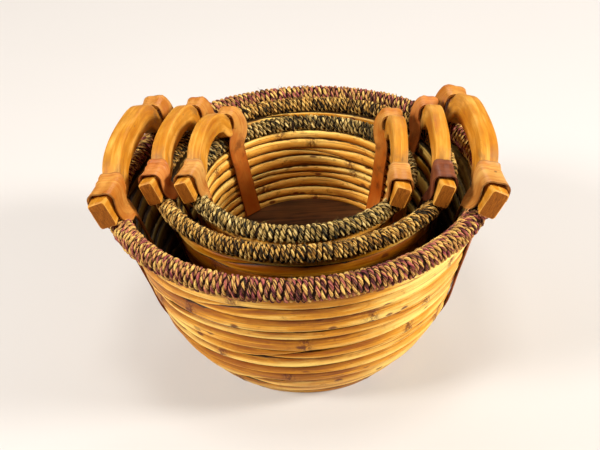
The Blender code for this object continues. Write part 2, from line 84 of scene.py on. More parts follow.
class Graph:
    """One material's nodes, made a call at a time."""

    def __init__(self, name: str) -> None:
        """Start a material with only a Principled shader and its output.

        Args:
            name: the material's name.
        """
        self.material = bpy.data.materials.new(name)
        self.material.use_nodes = True
        self.tree = self.material.node_tree
        self.shader = self.tree.nodes["Principled BSDF"]
        self.coordinates = self.tree.nodes.new("ShaderNodeTexCoord")

    def put(self, socket: Socket, value: object) -> None:
        """Link or set one input socket."""
        if isinstance(value, Socket):
            self.tree.links.new(value, socket)
        else:
            socket.default_value = value

    def node(self, kind: str, inputs: dict[str | int, object], **settings: object) -> bpy.types.Node:
        """Add one node and fill it in.

        Args:
            kind: its type, without the word ShaderNode.
            inputs: a value or a socket for each input that isn't left as it is.
            settings: its own settings, which are made first.
        Returns:
            The node.
        """
        node = self.tree.nodes.new(f"ShaderNode{kind}")
        for key, value in settings.items():
            setattr(node, key, value)
        for key, value in inputs.items():
            self.put(node.inputs[key], value)
        return node

    def scaled(self, stretch: tuple[float, ...], axis: Axis = Axis.UV, turn: float = 0.0) -> Socket:
        """Return the piece's own coordinates, stretched, and turned about Z."""
        inputs = {"Vector": self.coordinates.outputs[axis.value], "Scale": (*stretch, 1.0)[:3],
                  "Rotation": (0.0, 0.0, turn)}
        return self.node("Mapping", inputs).outputs["Vector"]

    def measured(self, operation: str, other: Colour) -> Socket:
        """Return the Object coordinates' dot product with, or distance from, a vector."""
        inputs = {0: self.coordinates.outputs["Object"], 1: other}
        return self.node("VectorMath", inputs, operation=operation).outputs["Value"]

    def noise(self, stretch: tuple[float, ...], scale: float, detail: float = 3.0,
              rough: float = 0.55, distortion: float = 0.0, axis: Axis = Axis.UV,
              turn: float = 0.0) -> Socket:
        """Return a noise between 0 and 1 over the stretched and turned coordinates."""
        inputs = {"Vector": self.scaled(stretch, axis, turn), "Scale": scale, "Detail": detail,
                  "Roughness": rough, "Distortion": distortion}
        return self.node("TexNoise", inputs).outputs["Fac"]

    def specks(self, stretch: tuple[float, ...], reach: float, solid: float, rare: float) -> Socket:
        """Return 1 in scattered specks, fading from solid to reach; more are left out as rare grows.

        Args:
            stretch: how many cells a unit holds, each way.
            reach: how far from its cell's middle a speck ends.
            solid: how far it is full.
            rare: the share of cells that have none.
        Returns:
            How much of a speck is there.
        """
        inputs = {"Vector": self.scaled(stretch), "Scale": 1.0}
        cells = self.node("TexVoronoi", inputs, voronoi_dimensions="2D").outputs
        return self.times(self.ranged(cells["Distance"], reach, solid),
                          self.ranged(cells["Color"], rare, rare + 0.04))

    def attribute(self, name: str) -> Socket:
        """Return a value that the piece's mesh carries."""
        return self.node("Attribute", {}, attribute_name=name).outputs["Fac"]

    def maths(self, operation: str, first: object, second: object) -> Socket:
        """Return one sum of two values, kept between 0 and 1."""
        inputs = {0: first, 1: second}
        return self.node("Math", inputs, operation=operation, use_clamp=True).outputs["Value"]

    def times(self, first: object, second: object) -> Socket:
        """Return the product of two values."""
        return self.maths("MULTIPLY", first, second)

    def total(self, first: Socket, *others: Socket) -> Socket:
        """Return the sum of some values, kept between 0 and 1 after each of them."""
        for other in others:
            first = self.maths("ADD", first, other)
        return first

    def ranged(self, value: object, low: float, high: float, to_low: float = 0.0,
               to_high: float = 1.0) -> Socket:
        """Return a value moved smoothly from one range to another, and kept in it."""
        inputs = {"Value": value, 1: low, 2: high, 3: to_low, 4: to_high}
        return self.node("MapRange", inputs, interpolation_type="SMOOTHSTEP").outputs["Result"]

    def ramp(self, value: object, *stops: tuple[float, Colour]) -> Socket:
        """Return a colour that runs through the given stops as the value goes from 0 to 1.

        Args:
            value: a share, or a socket that gives one.
            stops: places from 0 to 1, each with its colour.
        Returns:
            The colour.
        """
        node = self.node("ValToRGB", {"Fac": value})
        elements = node.color_ramp.elements
        while len(elements) < len(stops):
            elements.new(1.0)
        for element, (place, colour) in zip(elements, stops):
            element.position = place
            element.color = linear(colour)
        return node.outputs["Color"]

    def mix(self, share: object, first: object, second: object) -> Socket:
        """Return two colours blended by a share."""
        a, b = (each if isinstance(each, Socket) else linear(each) for each in (first, second))
        return self.node("Mix", {"Factor": share, "A": a, "B": b}, data_type="RGBA").outputs["Result"]

    def tint(self, colour: Socket, share: object, toward: Colour, most: float = 1.0) -> Socket:
        """Return a colour blended towards another by a share, times the most that it may be."""
        return self.mix(share if most == 1.0 else self.times(share, most), colour, toward)

    def bump(self, height: object, distance: float, strength: float,
             under: Socket | None = None) -> Socket:
        """Return a normal raised by a height, in metres at full value, over another normal.

        Args:
            height: what raises the surface.
            distance: the rise at full height.
            strength: how much of it shows.
            under: the normal that it is added to.
        Returns:
            The normal.
        """
        inputs = {"Strength": strength, "Distance": distance, "Height": height}
        if under is not None:
            inputs["Normal"] = under
        return self.node("Bump", inputs).outputs["Normal"]

    def finish(self, colour: object, roughness: object, normal: object,
               specular: float = 0.2) -> bpy.types.Material:
        """Link the results to the shader, with an even specular level, and return the material.

        Args:
            colour: the base colour.
            roughness: 0 is a mirror, and 1 is matt.
            normal: the raised normal.
            specular: how strongly it glints.
        Returns:
            The material.
        """
        results = {"Base Color": colour, "Roughness": roughness, "Normal": normal,
                   "Specular IOR Level": specular}
        for key, value in results.items():
            self.put(self.shader.inputs[key], value)
        return self.material


@dataclass(frozen=True)
class CaneFinish:
    """Peeled rattan: golden, streaked along the cane, with scarred nodes, specks and dark joints;
    painted shadow and highlight at each cane's lip, a painted paler +X side and painted shade on the
    inner faces.
    """

    pale: Colour = (254, 216, 116)
    golden: Colour = (222, 152, 32)
    deep: Colour = (152, 82, 4)
    scar: Colour = (96, 38, 8)
    # darker colour for cracks and mottling, and for the painted shadow under each cane's lip
    stain_and_shade: Colour = (132, 64, 0)
    joint: Colour = (34, 15, 3)
    # colour of the painted shade on the inner faces
    inner_shade_colour: Colour = (38, 18, 6)
    joint_from: float = 0.86           # how near the section's edge the dark joint begins
    mottling: float = 0.45
    side_light_and_pale_fibres: float = 0.0              # painted light: how much paler the +X side is made, as if lit more
    inner_shade: float = 0.6                 # how much painted shade darkens the inner faces

    def material(self, name: str) -> bpy.types.Material:
        """Return the material, whose UV map runs along the cane and round its section.

        Args:
            name: the material's name.
        Returns:
            The material.
        """
        g = Graph(name)
        shaded = g.attribute("shaded")
        streaks = g.noise((0.5, 8.0), 3.0, 4.0, 0.62, 0.5)
        blotches = g.noise((1.0, 2.0), 1.5, 4.0, 0.6)
        # painted light: the +X side gets a paler tone, fainter lip shadows and fainter joints, as if a
        # lamp lit it more
        lit_side = g.ranged(g.measured("DOT_PRODUCT", (1.0, 0.0, 0.0)), 0.02, 0.12, 0.0, self.side_light_and_pale_fibres)
        # painted light: the tone is a little paler where the shaded value is low (an outer face's lower
        # lip, an inner face's top) and on the +X side
        tone = g.total(g.times(streaks, 0.50), g.times(blotches, 0.36),
                       g.ranged(g.attribute("tone"), 0.0, 1.0, 0.0, 0.20),
                       g.ranged(shaded, 0.75, 0.0, 0.0, 0.12), g.times(lit_side, 0.10))
        colour = g.ramp(tone, (0.38, self.deep), (0.56, self.golden), (0.74, self.pale))
        fibres = g.noise((0.4, 40.0), 4.0, 3.0, 0.7)
        colour = g.tint(colour, g.ranged(fibres, 0.45, 0.70, 0.0, 0.45), self.deep)
        crack = g.ranged(g.noise((0.25, 16.0), 3.0, 3.0, 0.6, 0.3), 0.575, 0.635)
        colour = g.tint(colour, crack, self.stain_and_shade, 0.65)
        # painted shade and highlight: where the shaded value is high, under the lip of the cane above,
        # the colour darkens as that lip's shadow; where it is low, the lip itself is made paler as a
        # highlight; the worn noise only breaks both up
        worn = g.noise((1.2, 5.0), 3.0, 4.0, 0.62)
        darkened = g.times(g.ranged(shaded, 0.42, 0.86), g.ranged(worn, 0.25, 0.62, 0.15, 1.0))
        darkened = g.times(darkened, g.ranged(lit_side, 0.0, 1.0, 0.9, 0.25))
        colour = g.tint(colour, darkened, self.stain_and_shade)
        lip = g.times(g.ranged(shaded, 0.22, 0.08), g.ranged(worn, 0.62, 0.40))
        colour = g.tint(colour, lip, self.pale, 0.7)
        ragged = g.noise((12.0, 9.0), 2.4, 4.0, 0.65)
        node = g.times(g.attribute("node"), g.ranged(ragged, 0.38, 0.56))
        colour = g.tint(colour, node, self.scar, 0.9)
        colour = g.tint(colour, g.specks((4.0, 7.0), 0.24, 0.10, 0.72), self.scar, 0.9)
        mottle = g.noise((5.0, 7.0), 2.0, 4.0, 0.65)
        colour = g.tint(colour, g.ranged(mottle, 0.54, 0.72, 0.0, self.mottling), self.stain_and_shade)
        slit = g.noise((1.6, 0.4), 2.0, 3.0, 0.6)
        joint = g.total(g.attribute("edge"), g.ranged(slit, 0.50, 0.80, 0.0, 0.22))
        joint = g.ranged(joint, self.joint_from - 0.05, self.joint_from + 0.05)
        # painted light: the joints are fainter on the lit +X side
        joint = g.times(joint, g.ranged(lit_side, 0.0, 1.0, 0.96, 0.6))
        colour = g.tint(colour, joint, self.joint)
        # painted shade: the inner faces, deep between the nested baskets, are darkened
        colour = g.tint(colour, g.attribute("inside"), self.inner_shade_colour, self.inner_shade)
        normal = g.bump(crack, -0.0004, 0.7, g.bump(fibres, 0.0003, 0.7))
        rough = g.ranged(streaks, 0.2, 0.8, 0.36, 0.54)
        return g.finish(colour, rough, g.bump(node, 0.0005, 0.8, normal))


@dataclass(frozen=True)
class RopeFinish:
    """One strand of twisted seagrass: blades of several colours that change along its length."""

    blades: Stops
    shade: Colour
    side_light_and_pale_fibres: Colour = (236, 200, 132)
    # painted shade: the colour of the rope's hollows, between turns and between strands, and of the
    # core that shows in them
    depth: Colour = (30, 14, 5)

    def material(self, name: str) -> bpy.types.Material:
        """Return the material, whose UV map runs along the strand and round it.

        Args:
            name: the material's name.
        Returns:
            The material.
        """
        g = Graph(name)
        patches = g.noise((0.8, 6.5), 5.0, 3.0, 0.6, 0.3)
        region = g.noise((11.0, 11.0, 11.0), 1.0, 1.0, axis=Axis.OBJECT)
        value = g.total(g.times(g.ranged(patches, 0.35, 0.65), 0.80),
                        g.ranged(region, 0.3, 0.7, 0.0, 0.20))
        colour = g.ramp(value, *self.blades)
        fibres = g.noise((2.2, 70.0), 3.0, 3.0, 0.7, 0.5, turn=0.05)
        colour = g.tint(colour, g.ranged(fibres, 0.42, 0.72, 0.0, 0.62), self.shade)
        colour = g.tint(colour, g.ranged(fibres, 0.44, 0.28, 0.0, 0.45), self.side_light_and_pale_fibres)
        # painted shade in the hollows
        colour = g.tint(colour, g.ranged(g.attribute("hollow_shade"), 0.04, 0.60), self.depth, 0.97)
        return g.finish(colour, 0.85, g.bump(fibres, 0.0005, 0.9), 0.12)


@dataclass(frozen=True)
class BentWoodFinish:
    """Honey-coloured bent wood, with grain along the bar, handling stains and pale worn edges."""

    pale: Colour = (230, 170, 76)
    honey: Colour = (192, 126, 30)
    deep: Colour = (166, 92, 14)
    smudge: Colour = (120, 84, 46)

    def material(self, name: str) -> bpy.types.Material:
        """Return the material of the bar's long faces, on its UV map.

        Args:
            name: the material's name.
        Returns:
            The material.
        """
        g = Graph(name)
        waves = g.noise((0.6, 5.0), 3.0, 4.0, 0.6, 0.2)
        value = g.total(g.times(waves, 0.5), g.times(g.noise((1.3, 1.9), 1.7, 3.0, 0.5), 0.5))
        colour = g.ramp(value, (0.34, self.deep), (0.50, self.honey), (0.66, self.pale))
        grain = g.noise((1.2, 60.0), 3.0, 3.0, 0.7, 0.3)
        colour = g.tint(colour, g.ranged(grain, 0.50, 0.74, 0.0, 0.22), self.deep)
        smudges = g.ranged(g.noise((2.6, 3.4), 2.0, 4.0, 0.62), 0.46, 0.62)
        darkened = g.times(smudges, g.ranged(g.attribute("limb"), 0.1, 0.9, 0.25, 1.0))
        colour = g.tint(colour, darkened, self.smudge, 0.6)
        colour = g.tint(colour, g.specks((9.0, 16.0), 0.20, 0.08, 0.86), self.smudge, 0.6)
        colour = g.tint(colour, g.ranged(g.attribute("edge"), 0.5, 1.0), self.pale, 0.45)
        rough = g.ranged(waves, 0.2, 0.8, 0.46, 0.60)
        return g.finish(colour, rough, g.bump(grain, 0.0002, 0.6))


@dataclass(frozen=True)
class EndGrainFinish:
    """The handle foot's square-cut end: darker, with saw marks and open pores."""

    dark: Colour = (94, 46, 8)
    light: Colour = (168, 98, 26)

    def material(self, name: str) -> bpy.types.Material:
        """Return the material, on the end face's own UV map.

        Args:
            name: the material's name.
        Returns:
            The material.
        """
        g = Graph(name)
        saw = g.noise((5.0, 44.0), 2.6, 3.0, 0.6, turn=0.2)
        pores = g.noise((30.0, 30.0), 3.0, 3.0, 0.7)
        value = g.total(g.times(saw, 0.6), g.times(pores, 0.4))
        colour = g.ramp(value, (0.32, self.dark), (0.68, self.light))
        return g.finish(colour, 0.62, g.bump(value, 0.0005, 0.7), 0.1)


@dataclass(frozen=True)
class PeelFinish:
    """A strap of peel: tan above, redder and darker down its legs, with fine lines along it."""

    tan: Colour = (202, 143, 64)
    brown: Colour = (172, 102, 32)
    red: Colour = (156, 72, 12)
    dark: Colour = (62, 26, 8)

    def material(self, name: str) -> bpy.types.Material:
        """Return the material, whose UV map runs along the strap and across it.

        Args:
            name: the material's name.
        Returns:
            The material.
        """
        g = Graph(name)
        lines = g.noise((0.8, 26.0), 3.0, 3.0, 0.65, 0.3)
        clouds = g.noise((1.4, 2.6), 2.0, 4.0, 0.6)
        leg = g.ranged(g.attribute("leg"), 0.0, 1.0)
        upper = g.ramp(clouds, (0.38, self.brown), (0.58, self.tan))
        lower = g.ramp(clouds, (0.28, self.dark), (0.38, self.red), (0.70, self.brown))
        colour = g.mix(leg, upper, lower)
        colour = g.tint(colour, g.ranged(lines, 0.42, 0.70, 0.0, 0.55), self.red)
        smoke = g.ranged(g.noise((2.2, 3.0), 2.4, 4.0, 0.65), 0.48, 0.66)
        burnt = g.times(g.times(smoke, g.ranged(g.attribute("head"), 0.15, 0.5)), leg)
        colour = g.tint(colour, burnt, self.dark, 0.8)
        # painted shade: the strap's edges are darkened, as thin shadows along them
        colour = g.tint(colour, g.ranged(g.attribute("edge"), 0.90, 1.0), self.dark, 0.5)
        colour = g.tint(colour, g.specks((9.0, 14.0), 0.22, 0.08, 0.84), self.dark, 0.6)
        rough = g.ranged(clouds, 0.2, 0.8, 0.40, 0.56)
        return g.finish(colour, rough, g.bump(lines, 0.00025, 0.7))


@dataclass(frozen=True)
class BoardFinish:
    """The floor board: dark stained wood with faint straight grain and scratches."""

    dark: Colour = (38, 21, 10)
    light: Colour = (104, 64, 34)
    gouge: Colour = (26, 14, 8)

    def material(self, name: str) -> bpy.types.Material:
        """Return the material, on Object coordinates, with its grain nearly along X.

        Args:
            name: the material's name.
        Returns:
            The material.
        """
        g = Graph(name)
        grain = g.noise((4.0, 60.0, 30.0), 3.0, 4.0, 0.65, 0.6, Axis.OBJECT, 0.35)
        clouds = g.noise((14.0, 22.0, 10.0), 1.0, 3.0, 0.6, 0.0, Axis.OBJECT, 0.35)
        value = g.total(g.times(grain, 0.6), g.times(clouds, 0.4))
        colour = g.ramp(value, (0.42, self.dark), (0.60, self.light))
        scratch = g.noise((7.0, 160.0, 30.0), 2.0, 2.0, 0.6, 0.0, Axis.OBJECT, -0.5)
        colour = g.tint(colour, g.ranged(scratch, 0.68, 0.74, 0.0, 0.5), self.gouge)
        return g.finish(colour, 0.55, g.bump(grain, 0.0003, 0.6))


@dataclass(frozen=True)
class StageFinish:
    """The pale warm paper that the nest stands on."""

    paper: Colour = (162, 161, 160)
    mottled: Colour = (158, 156, 154)
    near: Colour = (148, 136, 122)     # light of its own towards the camera, for the camera only
    glow: Colour = (177, 167, 158)     # the same farther away
    bounce: Colour = (214, 206, 198)   # what the nest sees of it

    def material(self, name: str) -> bpy.types.Material:
        """Return the material, whose faint mottling keeps it from being one flat colour.

        Args:
            name: the material's name.
        Returns:
            The material.
        """
        g = Graph(name)
        mottle = g.noise((1.0, 1.0, 1.0), 1.4, 2.0, 0.5, 0.0, Axis.OBJECT)
        colour = g.mix(g.ranged(mottle, 0.3, 0.7, 0.0, 0.4), self.paper, self.mottled)
        grit = g.noise((1.0, 1.0, 1.0), 900.0, 2.0, axis=Axis.OBJECT)
        seen = g.node("LightPath", {}).outputs["Is Camera Ray"]
        # painted shade: the camera-only glow is dimmer and warmer near a point in front of the nest,
        # which tones down the lamps' pool of light there and warms the shadow
        away = g.ranged(g.measured("DISTANCE", (0.2, -0.6, 0.0)), 0.1, 1.0)
        g.put(g.shader.inputs["Emission Color"], g.mix(away, self.near, self.glow))
        g.put(g.shader.inputs["Emission Strength"], seen)
        return g.finish(g.mix(seen, self.bounce, colour), 0.9, g.bump(grit, 0.0001, 0.2))


@dataclass
class Surface:
    """A mesh in arrays: points, their values, and faces with their corners' UVs."""

    points: Array
    quads: Array
    quad_uvs: Array
    values: dict[str, Array]
    triangles: Array = field(default_factory=lambda: np.zeros((0, 3), int))
    triangle_uvs: Array = field(default_factory=lambda: np.zeros((0, 3, 2)))
    triangle_finish: int = 0

    def volume(self) -> float:
        """Return the signed volume: the sum over triangles of a . (b x c) / 6.

        Returns:
            The volume, below zero where the faces look inwards.
        """
        t = np.concatenate([self.quads[:, [0, 1, 2]], self.quads[:, [0, 2, 3]], self.triangles])
        a, b, c = (self.points[t[:, k]] for k in range(3))
        return float(np.einsum("ij,ij->i", a, np.cross(b, c)).sum() / 6.0)

    def faced_out(self) -> "Surface":
        """Turn every face round if the surface is inside out."""
        if self.volume() < 0:
            self.quads, self.quad_uvs = self.quads[:, ::-1], self.quad_uvs[:, ::-1]
            self.triangles, self.triangle_uvs = self.triangles[:, ::-1], self.triangle_uvs[:, ::-1]
        return self


def merged(parts: list[Surface]) -> Surface:
    """Return several surfaces with the same values as one mesh.

    Args:
        parts: surfaces that carry the same values.
    Returns:
        The mesh.
    """
    shifts = np.cumsum([0] + [len(part.points) for part in parts])
    values = {key: np.concatenate([part.values[key] for part in parts]) for key in parts[0].values}
    return Surface(
        np.concatenate([part.points for part in parts]),
        np.concatenate([part.quads + shift for part, shift in zip(parts, shifts)]),
        np.concatenate([part.quad_uvs for part in parts]),
        values,
        np.concatenate([part.triangles + shift for part, shift in zip(parts, shifts)]),
        np.concatenate([part.triangle_uvs for part in parts]),
    )


def skin(sections: Array, along: Array, around: Array, closed: bool, values: dict[str, Array],
         end_finish: int = 0) -> Surface:
    """Join a row of closed sections into one skin.

    Point (i, j) of the grid joins (i, j + 1) and (i + 1, j), and the columns close on themselves. Where
    the rows don't close too, each end is a fan about the middle of its section.

    Args:
        sections: points, rows by columns by 3.
        along: each row's distance along the path, with one more entry where the rows close.
        around: each column's distance round the section, with one more entry for the full turn.
        closed: whether the last row joins the first.
        values: named values at the points, rows by columns.
        end_finish: the finish number of the end faces.
    Returns:
        The surface, faces outwards.
    """
    rows, columns = sections.shape[:2]
    i, j = np.meshgrid(np.arange(rows if closed else rows - 1), np.arange(columns), indexing="ij")
    corners = ((0, 0), (1, 0), (1, 1), (0, 1))
    quads = np.stack([(i + a) % rows * columns + (j + b) % columns for a, b in corners], -1)
    u, v = along * UV_PER_METRE, around * UV_PER_METRE
    uvs = np.stack([np.stack([u[i + a], v[j + b]], -1) for a, b in corners], -2)
    points = sections.reshape(-1, 3)
    values = {key: value.reshape(-1) for key, value in values.items()}
    surface = Surface(points, quads.reshape(-1, 4), uvs.reshape(-1, 4, 2), values,
                      triangle_finish=end_finish)
    if not closed:
        middles, count = sections[[0, -1]].mean(1), len(points)
        surface.points = np.concatenate([points, middles])
        for key, value in values.items():
            values[key] = np.concatenate([value, value[[0, -1]]])
        ring = np.arange(columns)
        after, base = (ring + 1) % columns, (rows - 1) * columns
        first = np.stack([ring, after, np.full(columns, count)], -1)
        final = np.stack([base + after, base + ring, np.full(columns, count + 1)], -1)
        surface.triangles = np.concatenate([first, final])
        spokes = sections[-1] - middles[1]
        across = spokes[0] / np.linalg.norm(spokes[0])
        upward = np.cross(np.cross(across, spokes[columns // 4]), across)
        upward /= max(np.linalg.norm(upward), 1e-9)
        flat = surface.points[surface.triangles]
        surface.triangle_uvs = np.stack([flat @ across, flat @ upward], -1) * UV_PER_METRE
    return surface.faced_out()


def dress(name: str, surface: Surface, materials: list[bpy.types.Material], body: str,
          replaced: str | None, sharp: float = 50.0) -> None:
    """Turn a surface into a piece that rides on its body.

    Args:
        name: the piece's name.
        surface: its mesh, in the row frame.
        materials: its finishes.
        body: the CAD body that it rides on.
        replaced: the CAD node that it stands for, if any.
        sharp: the angle in degrees past which an edge shows as one.
    """
    mesh = bpy.data.meshes.new(name)
    quads, triangles = surface.quads, surface.triangles
    corners = np.concatenate([quads.reshape(-1), triangles.reshape(-1)])
    totals = np.repeat([4, 3], [len(quads), len(triangles)])
    starts = np.cumsum(totals) - totals
    finishes = np.repeat([0, surface.triangle_finish], [len(quads), len(triangles)])
    uvs = np.concatenate([surface.quad_uvs.reshape(-1), surface.triangle_uvs.reshape(-1)])
    mesh.vertices.add(len(surface.points))
    mesh.loops.add(len(corners))
    mesh.polygons.add(len(totals))
    mesh.vertices.foreach_set("co", surface.points.astype(np.float32).reshape(-1))
    mesh.loops.foreach_set("vertex_index", corners.astype(np.int32))
    mesh.polygons.foreach_set("loop_start", starts.astype(np.int32))
    mesh.polygons.foreach_set("loop_total", totals.astype(np.int32))
    mesh.update(calc_edges=True)
    mesh.uv_layers.new(name="UVMap").uv.foreach_set("vector", uvs.astype(np.float32))
    mesh.polygons.foreach_set("material_index", finishes.astype(np.int32))
    for key, value in surface.values.items():
        mesh.attributes.new(key, "FLOAT", "POINT").data.foreach_set("value", value.astype(np.float32))
    mesh.shade_smooth()
    mesh.set_sharp_from_angle(angle=math.radians(sharp))
    for material in materials:
        mesh.materials.append(material)
    piece = bpy.data.objects.new(name, mesh)
    bpy.context.scene.collection.objects.link(piece)
    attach(piece, body)
    if replaced:
        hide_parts(replaced)
    log.info("%s: %d faces on %s", name, len(totals), body)


def soft_box(points: int, wide: Array, deep: Array, power: float) -> tuple[Array, Array]:
    """Return superellipses: |x / wide| ^ power + |y / deep| ^ power = 1, at even turns.

    Args:
        points: how many points.
        wide: half width of each row.
        deep: half depth of each row.
        power: 2 is an ellipse, and higher is squarer.
    Returns:
        The x and y of each point, rows by points.
    """
    turn = FULL_TURN * np.arange(points) / points
    unit = [np.sign(wave) * np.abs(wave) ** (2 / power) for wave in (np.cos(turn), np.sin(turn))]
    return np.multiply.outer(wide, unit[0]), np.multiply.outer(deep, unit[1])


def ripple(turn: Array, rng: np.random.Generator, waves: int, size: float, low: int = 1) -> Array:
    """Return a smooth closed wander: a sum of sines, each smaller as it has more waves round the ring.

    Args:
        turn: azimuths in radians.
        rng: where the sizes and phases come from.
        waves: how many sines.
        size: about how far it wanders.
        low: the fewest waves round the ring.
    Returns:
        The wander at each azimuth.
    """
    counts = np.arange(low, low + waves)
    sizes = rng.normal(0, 1, waves) / np.sqrt(counts)
    phases = rng.uniform(0, FULL_TURN, waves)
    wander = np.sin(np.multiply.outer(turn, counts) + phases) @ sizes
    return size * wander / max(np.abs(sizes).sum() * 0.5, 1e-9)


def closed_noise(count: int, knots: int, rng: np.random.Generator, size: float) -> Array:
    """Return random values at even knots over a closed run, joined by straight lines.

    Args:
        count: how many even steps the run has.
        knots: how many random values.
        rng: where they come from.
        size: their standard deviation.
    Returns:
        The value at each step.
    """
    values = rng.normal(0, size, knots)
    place = np.arange(count) / count * knots
    return np.interp(place, np.arange(knots + 1), np.append(values, values[0]))


def spread(path: Array) -> Array:
    """Return the distance along a path at each of its points."""
    steps = np.linalg.norm(np.diff(path, axis=0), axis=1)
    return np.concatenate([[0.0], np.cumsum(steps)])


def units(vectors: Array) -> Array:
    """Return each row's direction, one long."""
    return vectors / np.linalg.norm(vectors, axis=1, keepdims=True)


def dot(first: Array, second: Array) -> Array:
    """Return each row's dot product, as a column."""
    return np.einsum("ij,ij->i", first, second)[:, None]


def curve_through(points: Array, steps: int) -> Array:
    """Return a smooth path: on each span, the Catmull-Rom cubic of its four nearest points.

    Args:
        points: rows of a few columns, which may be more than three.
        steps: path points for each span.
    Returns:
        The path's points, ends included.
    """
    ends = np.concatenate([[2 * points[0] - points[1]], points, [2 * points[-1] - points[-2]]])
    a, b, c, d = ends[:-3, None], ends[1:-2, None], ends[2:-1, None], ends[3:, None]
    t = (np.arange(steps) / steps)[None, :, None]
    path = 0.5 * (2 * b + (c - a) * t + (2 * a - 5 * b + 4 * c - d) * t ** 2
                  + (3 * b - a - 3 * c + d) * t ** 3)
    return np.concatenate([path.reshape(-1, points.shape[1]), points[-1:]])


def outward_at(azimuth: Array | float) -> Array:
    """Return the level direction away from the axis at an azimuth in radians."""
    return np.stack([np.cos(azimuth), np.sin(azimuth), np.zeros_like(azimuth)], -1)


def tangent_at(azimuth: Array | float) -> Array:
    """Return the level direction round the ring at an azimuth in radians."""
    return np.stack([-np.sin(azimuth), np.cos(azimuth), np.zeros_like(azimuth)], -1)


def course_frame(low: Array, high: Array) -> tuple[float, Array, Array]:
    """Return how far apart two joints are, and the directions up the course and out of the wall.

    Args:
        low: radius and height of the lower joint.
        high: the upper joint's.
    Returns:
        The distance and the two directions, each one long.
    """
    pitch = np.linalg.norm(high - low)
    along = (high - low) / pitch
    return pitch, along, np.array([along[1], -along[0]])


class Side(Enum):
    """Which handle: at the nest's right or left."""

    RIGHT = "right"
    LEFT = "left"


@dataclass(frozen=True)
class Handle:
    """Where a handle's middle stands, in degrees, and how far its plane leans outwards."""

    side: Side
    azimuth: float
    lean: float


@dataclass(frozen=True)
class Sizes:
    """One basket's sizes, in metres and degrees, in the frame of its underside's middle."""

    name: str
    centre: tuple[float, float, float]
    rim_radius: float
    rim_height: float
    rim_thickness: float
    wall_foot_share: float
    wall_inset_share: float
    flare_share: float
    cane_depth: float
    course_shares: tuple[float, ...]
    hoop_steps: int
    floor_thickness: float
    handle_span_share: float
    handle_height: float
    handle_depth: float
    handle_width: float
    strap_span_share: float
    strap_width: float
    strap_thickness: float
    leg_stand_off: float
    outer_leg_share: float
    outer_leg_drift: float
    far_foot_trim: float
    handles: tuple[Handle, Handle]
    rope_turns: int
    seed: int
    belly_share: float = 0.36
    belly_power: float = 1.6
    profile_steps: int = 201

    @property
    def body(self) -> str:
        """The CAD body's name."""
        return f"{self.name}_basket"

    @property
    def place(self) -> Array:
        """Where the underside's middle stands in the row frame."""
        return np.array(self.centre)

    @property
    def wall_top(self) -> float:
        """Height where the highest course meets the rim's rounded underside.

        Returns:
            The height above the underside.
        """
        wall_head = self.rim_radius - self.rim_thickness * self.wall_inset_share
        inset = self.rim_radius - (wall_head + self.cane_depth / 4)
        return self.rim_height - math.sqrt((self.rim_thickness / 2) ** 2 - inset ** 2) - SEAT_GAP

    @property
    def strap_reach(self) -> float:
        """From the handle's middle to the strap's middle."""
        return self.rim_radius * self.strap_span_share

    @property
    def strap_chord(self) -> float:
        """From the axis to the line between the two straps' middles."""
        return math.sqrt(self.rim_radius ** 2 - self.strap_reach ** 2)

    @property
    def foot_end(self) -> float:
        """From the handle's middle to its near foot's end."""
        return self.rim_radius * self.handle_span_share

    @property
    def strap_clear(self) -> float:
        """From what a strap lies on to the strap's middle."""
        return self.strap_thickness / 2 + SEAT_GAP

    def wall_radius(self, height: Array | float) -> Array:
        """Return the wall's middle radius at a height: an even flare, plus a foot that rounds in.

        Args:
            height: heights above the underside.
        Returns:
            The radius at each.
        """
        bottom = self.cane_depth / 4
        share = (np.asarray(height, float) - bottom) / (self.wall_top - bottom)
        foot = 1.0 - (1.0 - np.minimum(share / self.belly_share, 1.0)) ** self.belly_power
        rise = self.flare_share * share + (1.0 - self.flare_share) * foot
        low = self.rim_radius * self.wall_foot_share
        return low + (self.rim_radius - self.rim_thickness * self.wall_inset_share - low) * rise

    def wall_levels(self) -> Array:
        """Return the (radius, height) of each joint between courses, by shares of the wall's length.

        Returns:
            A row for each joint, lowest first.
        """
        heights = np.linspace(self.cane_depth / 4, self.wall_top, self.profile_steps)
        profile = np.stack([self.wall_radius(heights), heights], -1)
        lengths = spread(profile)
        shares = np.concatenate([[0.0], np.cumsum(self.course_shares)]) / sum(self.course_shares)
        return np.stack([np.interp(lengths[-1] * shares, lengths, column) for column in profile.T], -1)

    def inner_face(self, height: float) -> float:
        """Return the radius of the wall's inner face at a height."""
        inside = float(self.wall_radius(height) - self.cane_depth / 2)
        return inside * math.cos(math.pi / self.hoop_steps)

    def floor_radius(self) -> float:
        """Return the floor board's radius, which fits inside the lowest course's six-sided section.

        Returns:
            The radius, in metres.
        """
        low, high = self.wall_levels()[:2]
        pitch, along, across = course_frame(low, high)
        turns = np.arange(6) * np.pi / 3
        half = (pitch - 2 * SEAT_GAP) / 2 / math.sin(math.pi / 3)
        corners = ((low + high) / 2 + np.multiply.outer(np.cos(turns), across) * self.cane_depth / 2
                   + np.multiply.outer(np.sin(turns), along) * half)
        return float(corners[:, 0].min()) * math.cos(math.pi / self.hoop_steps) - SEAT_GAP


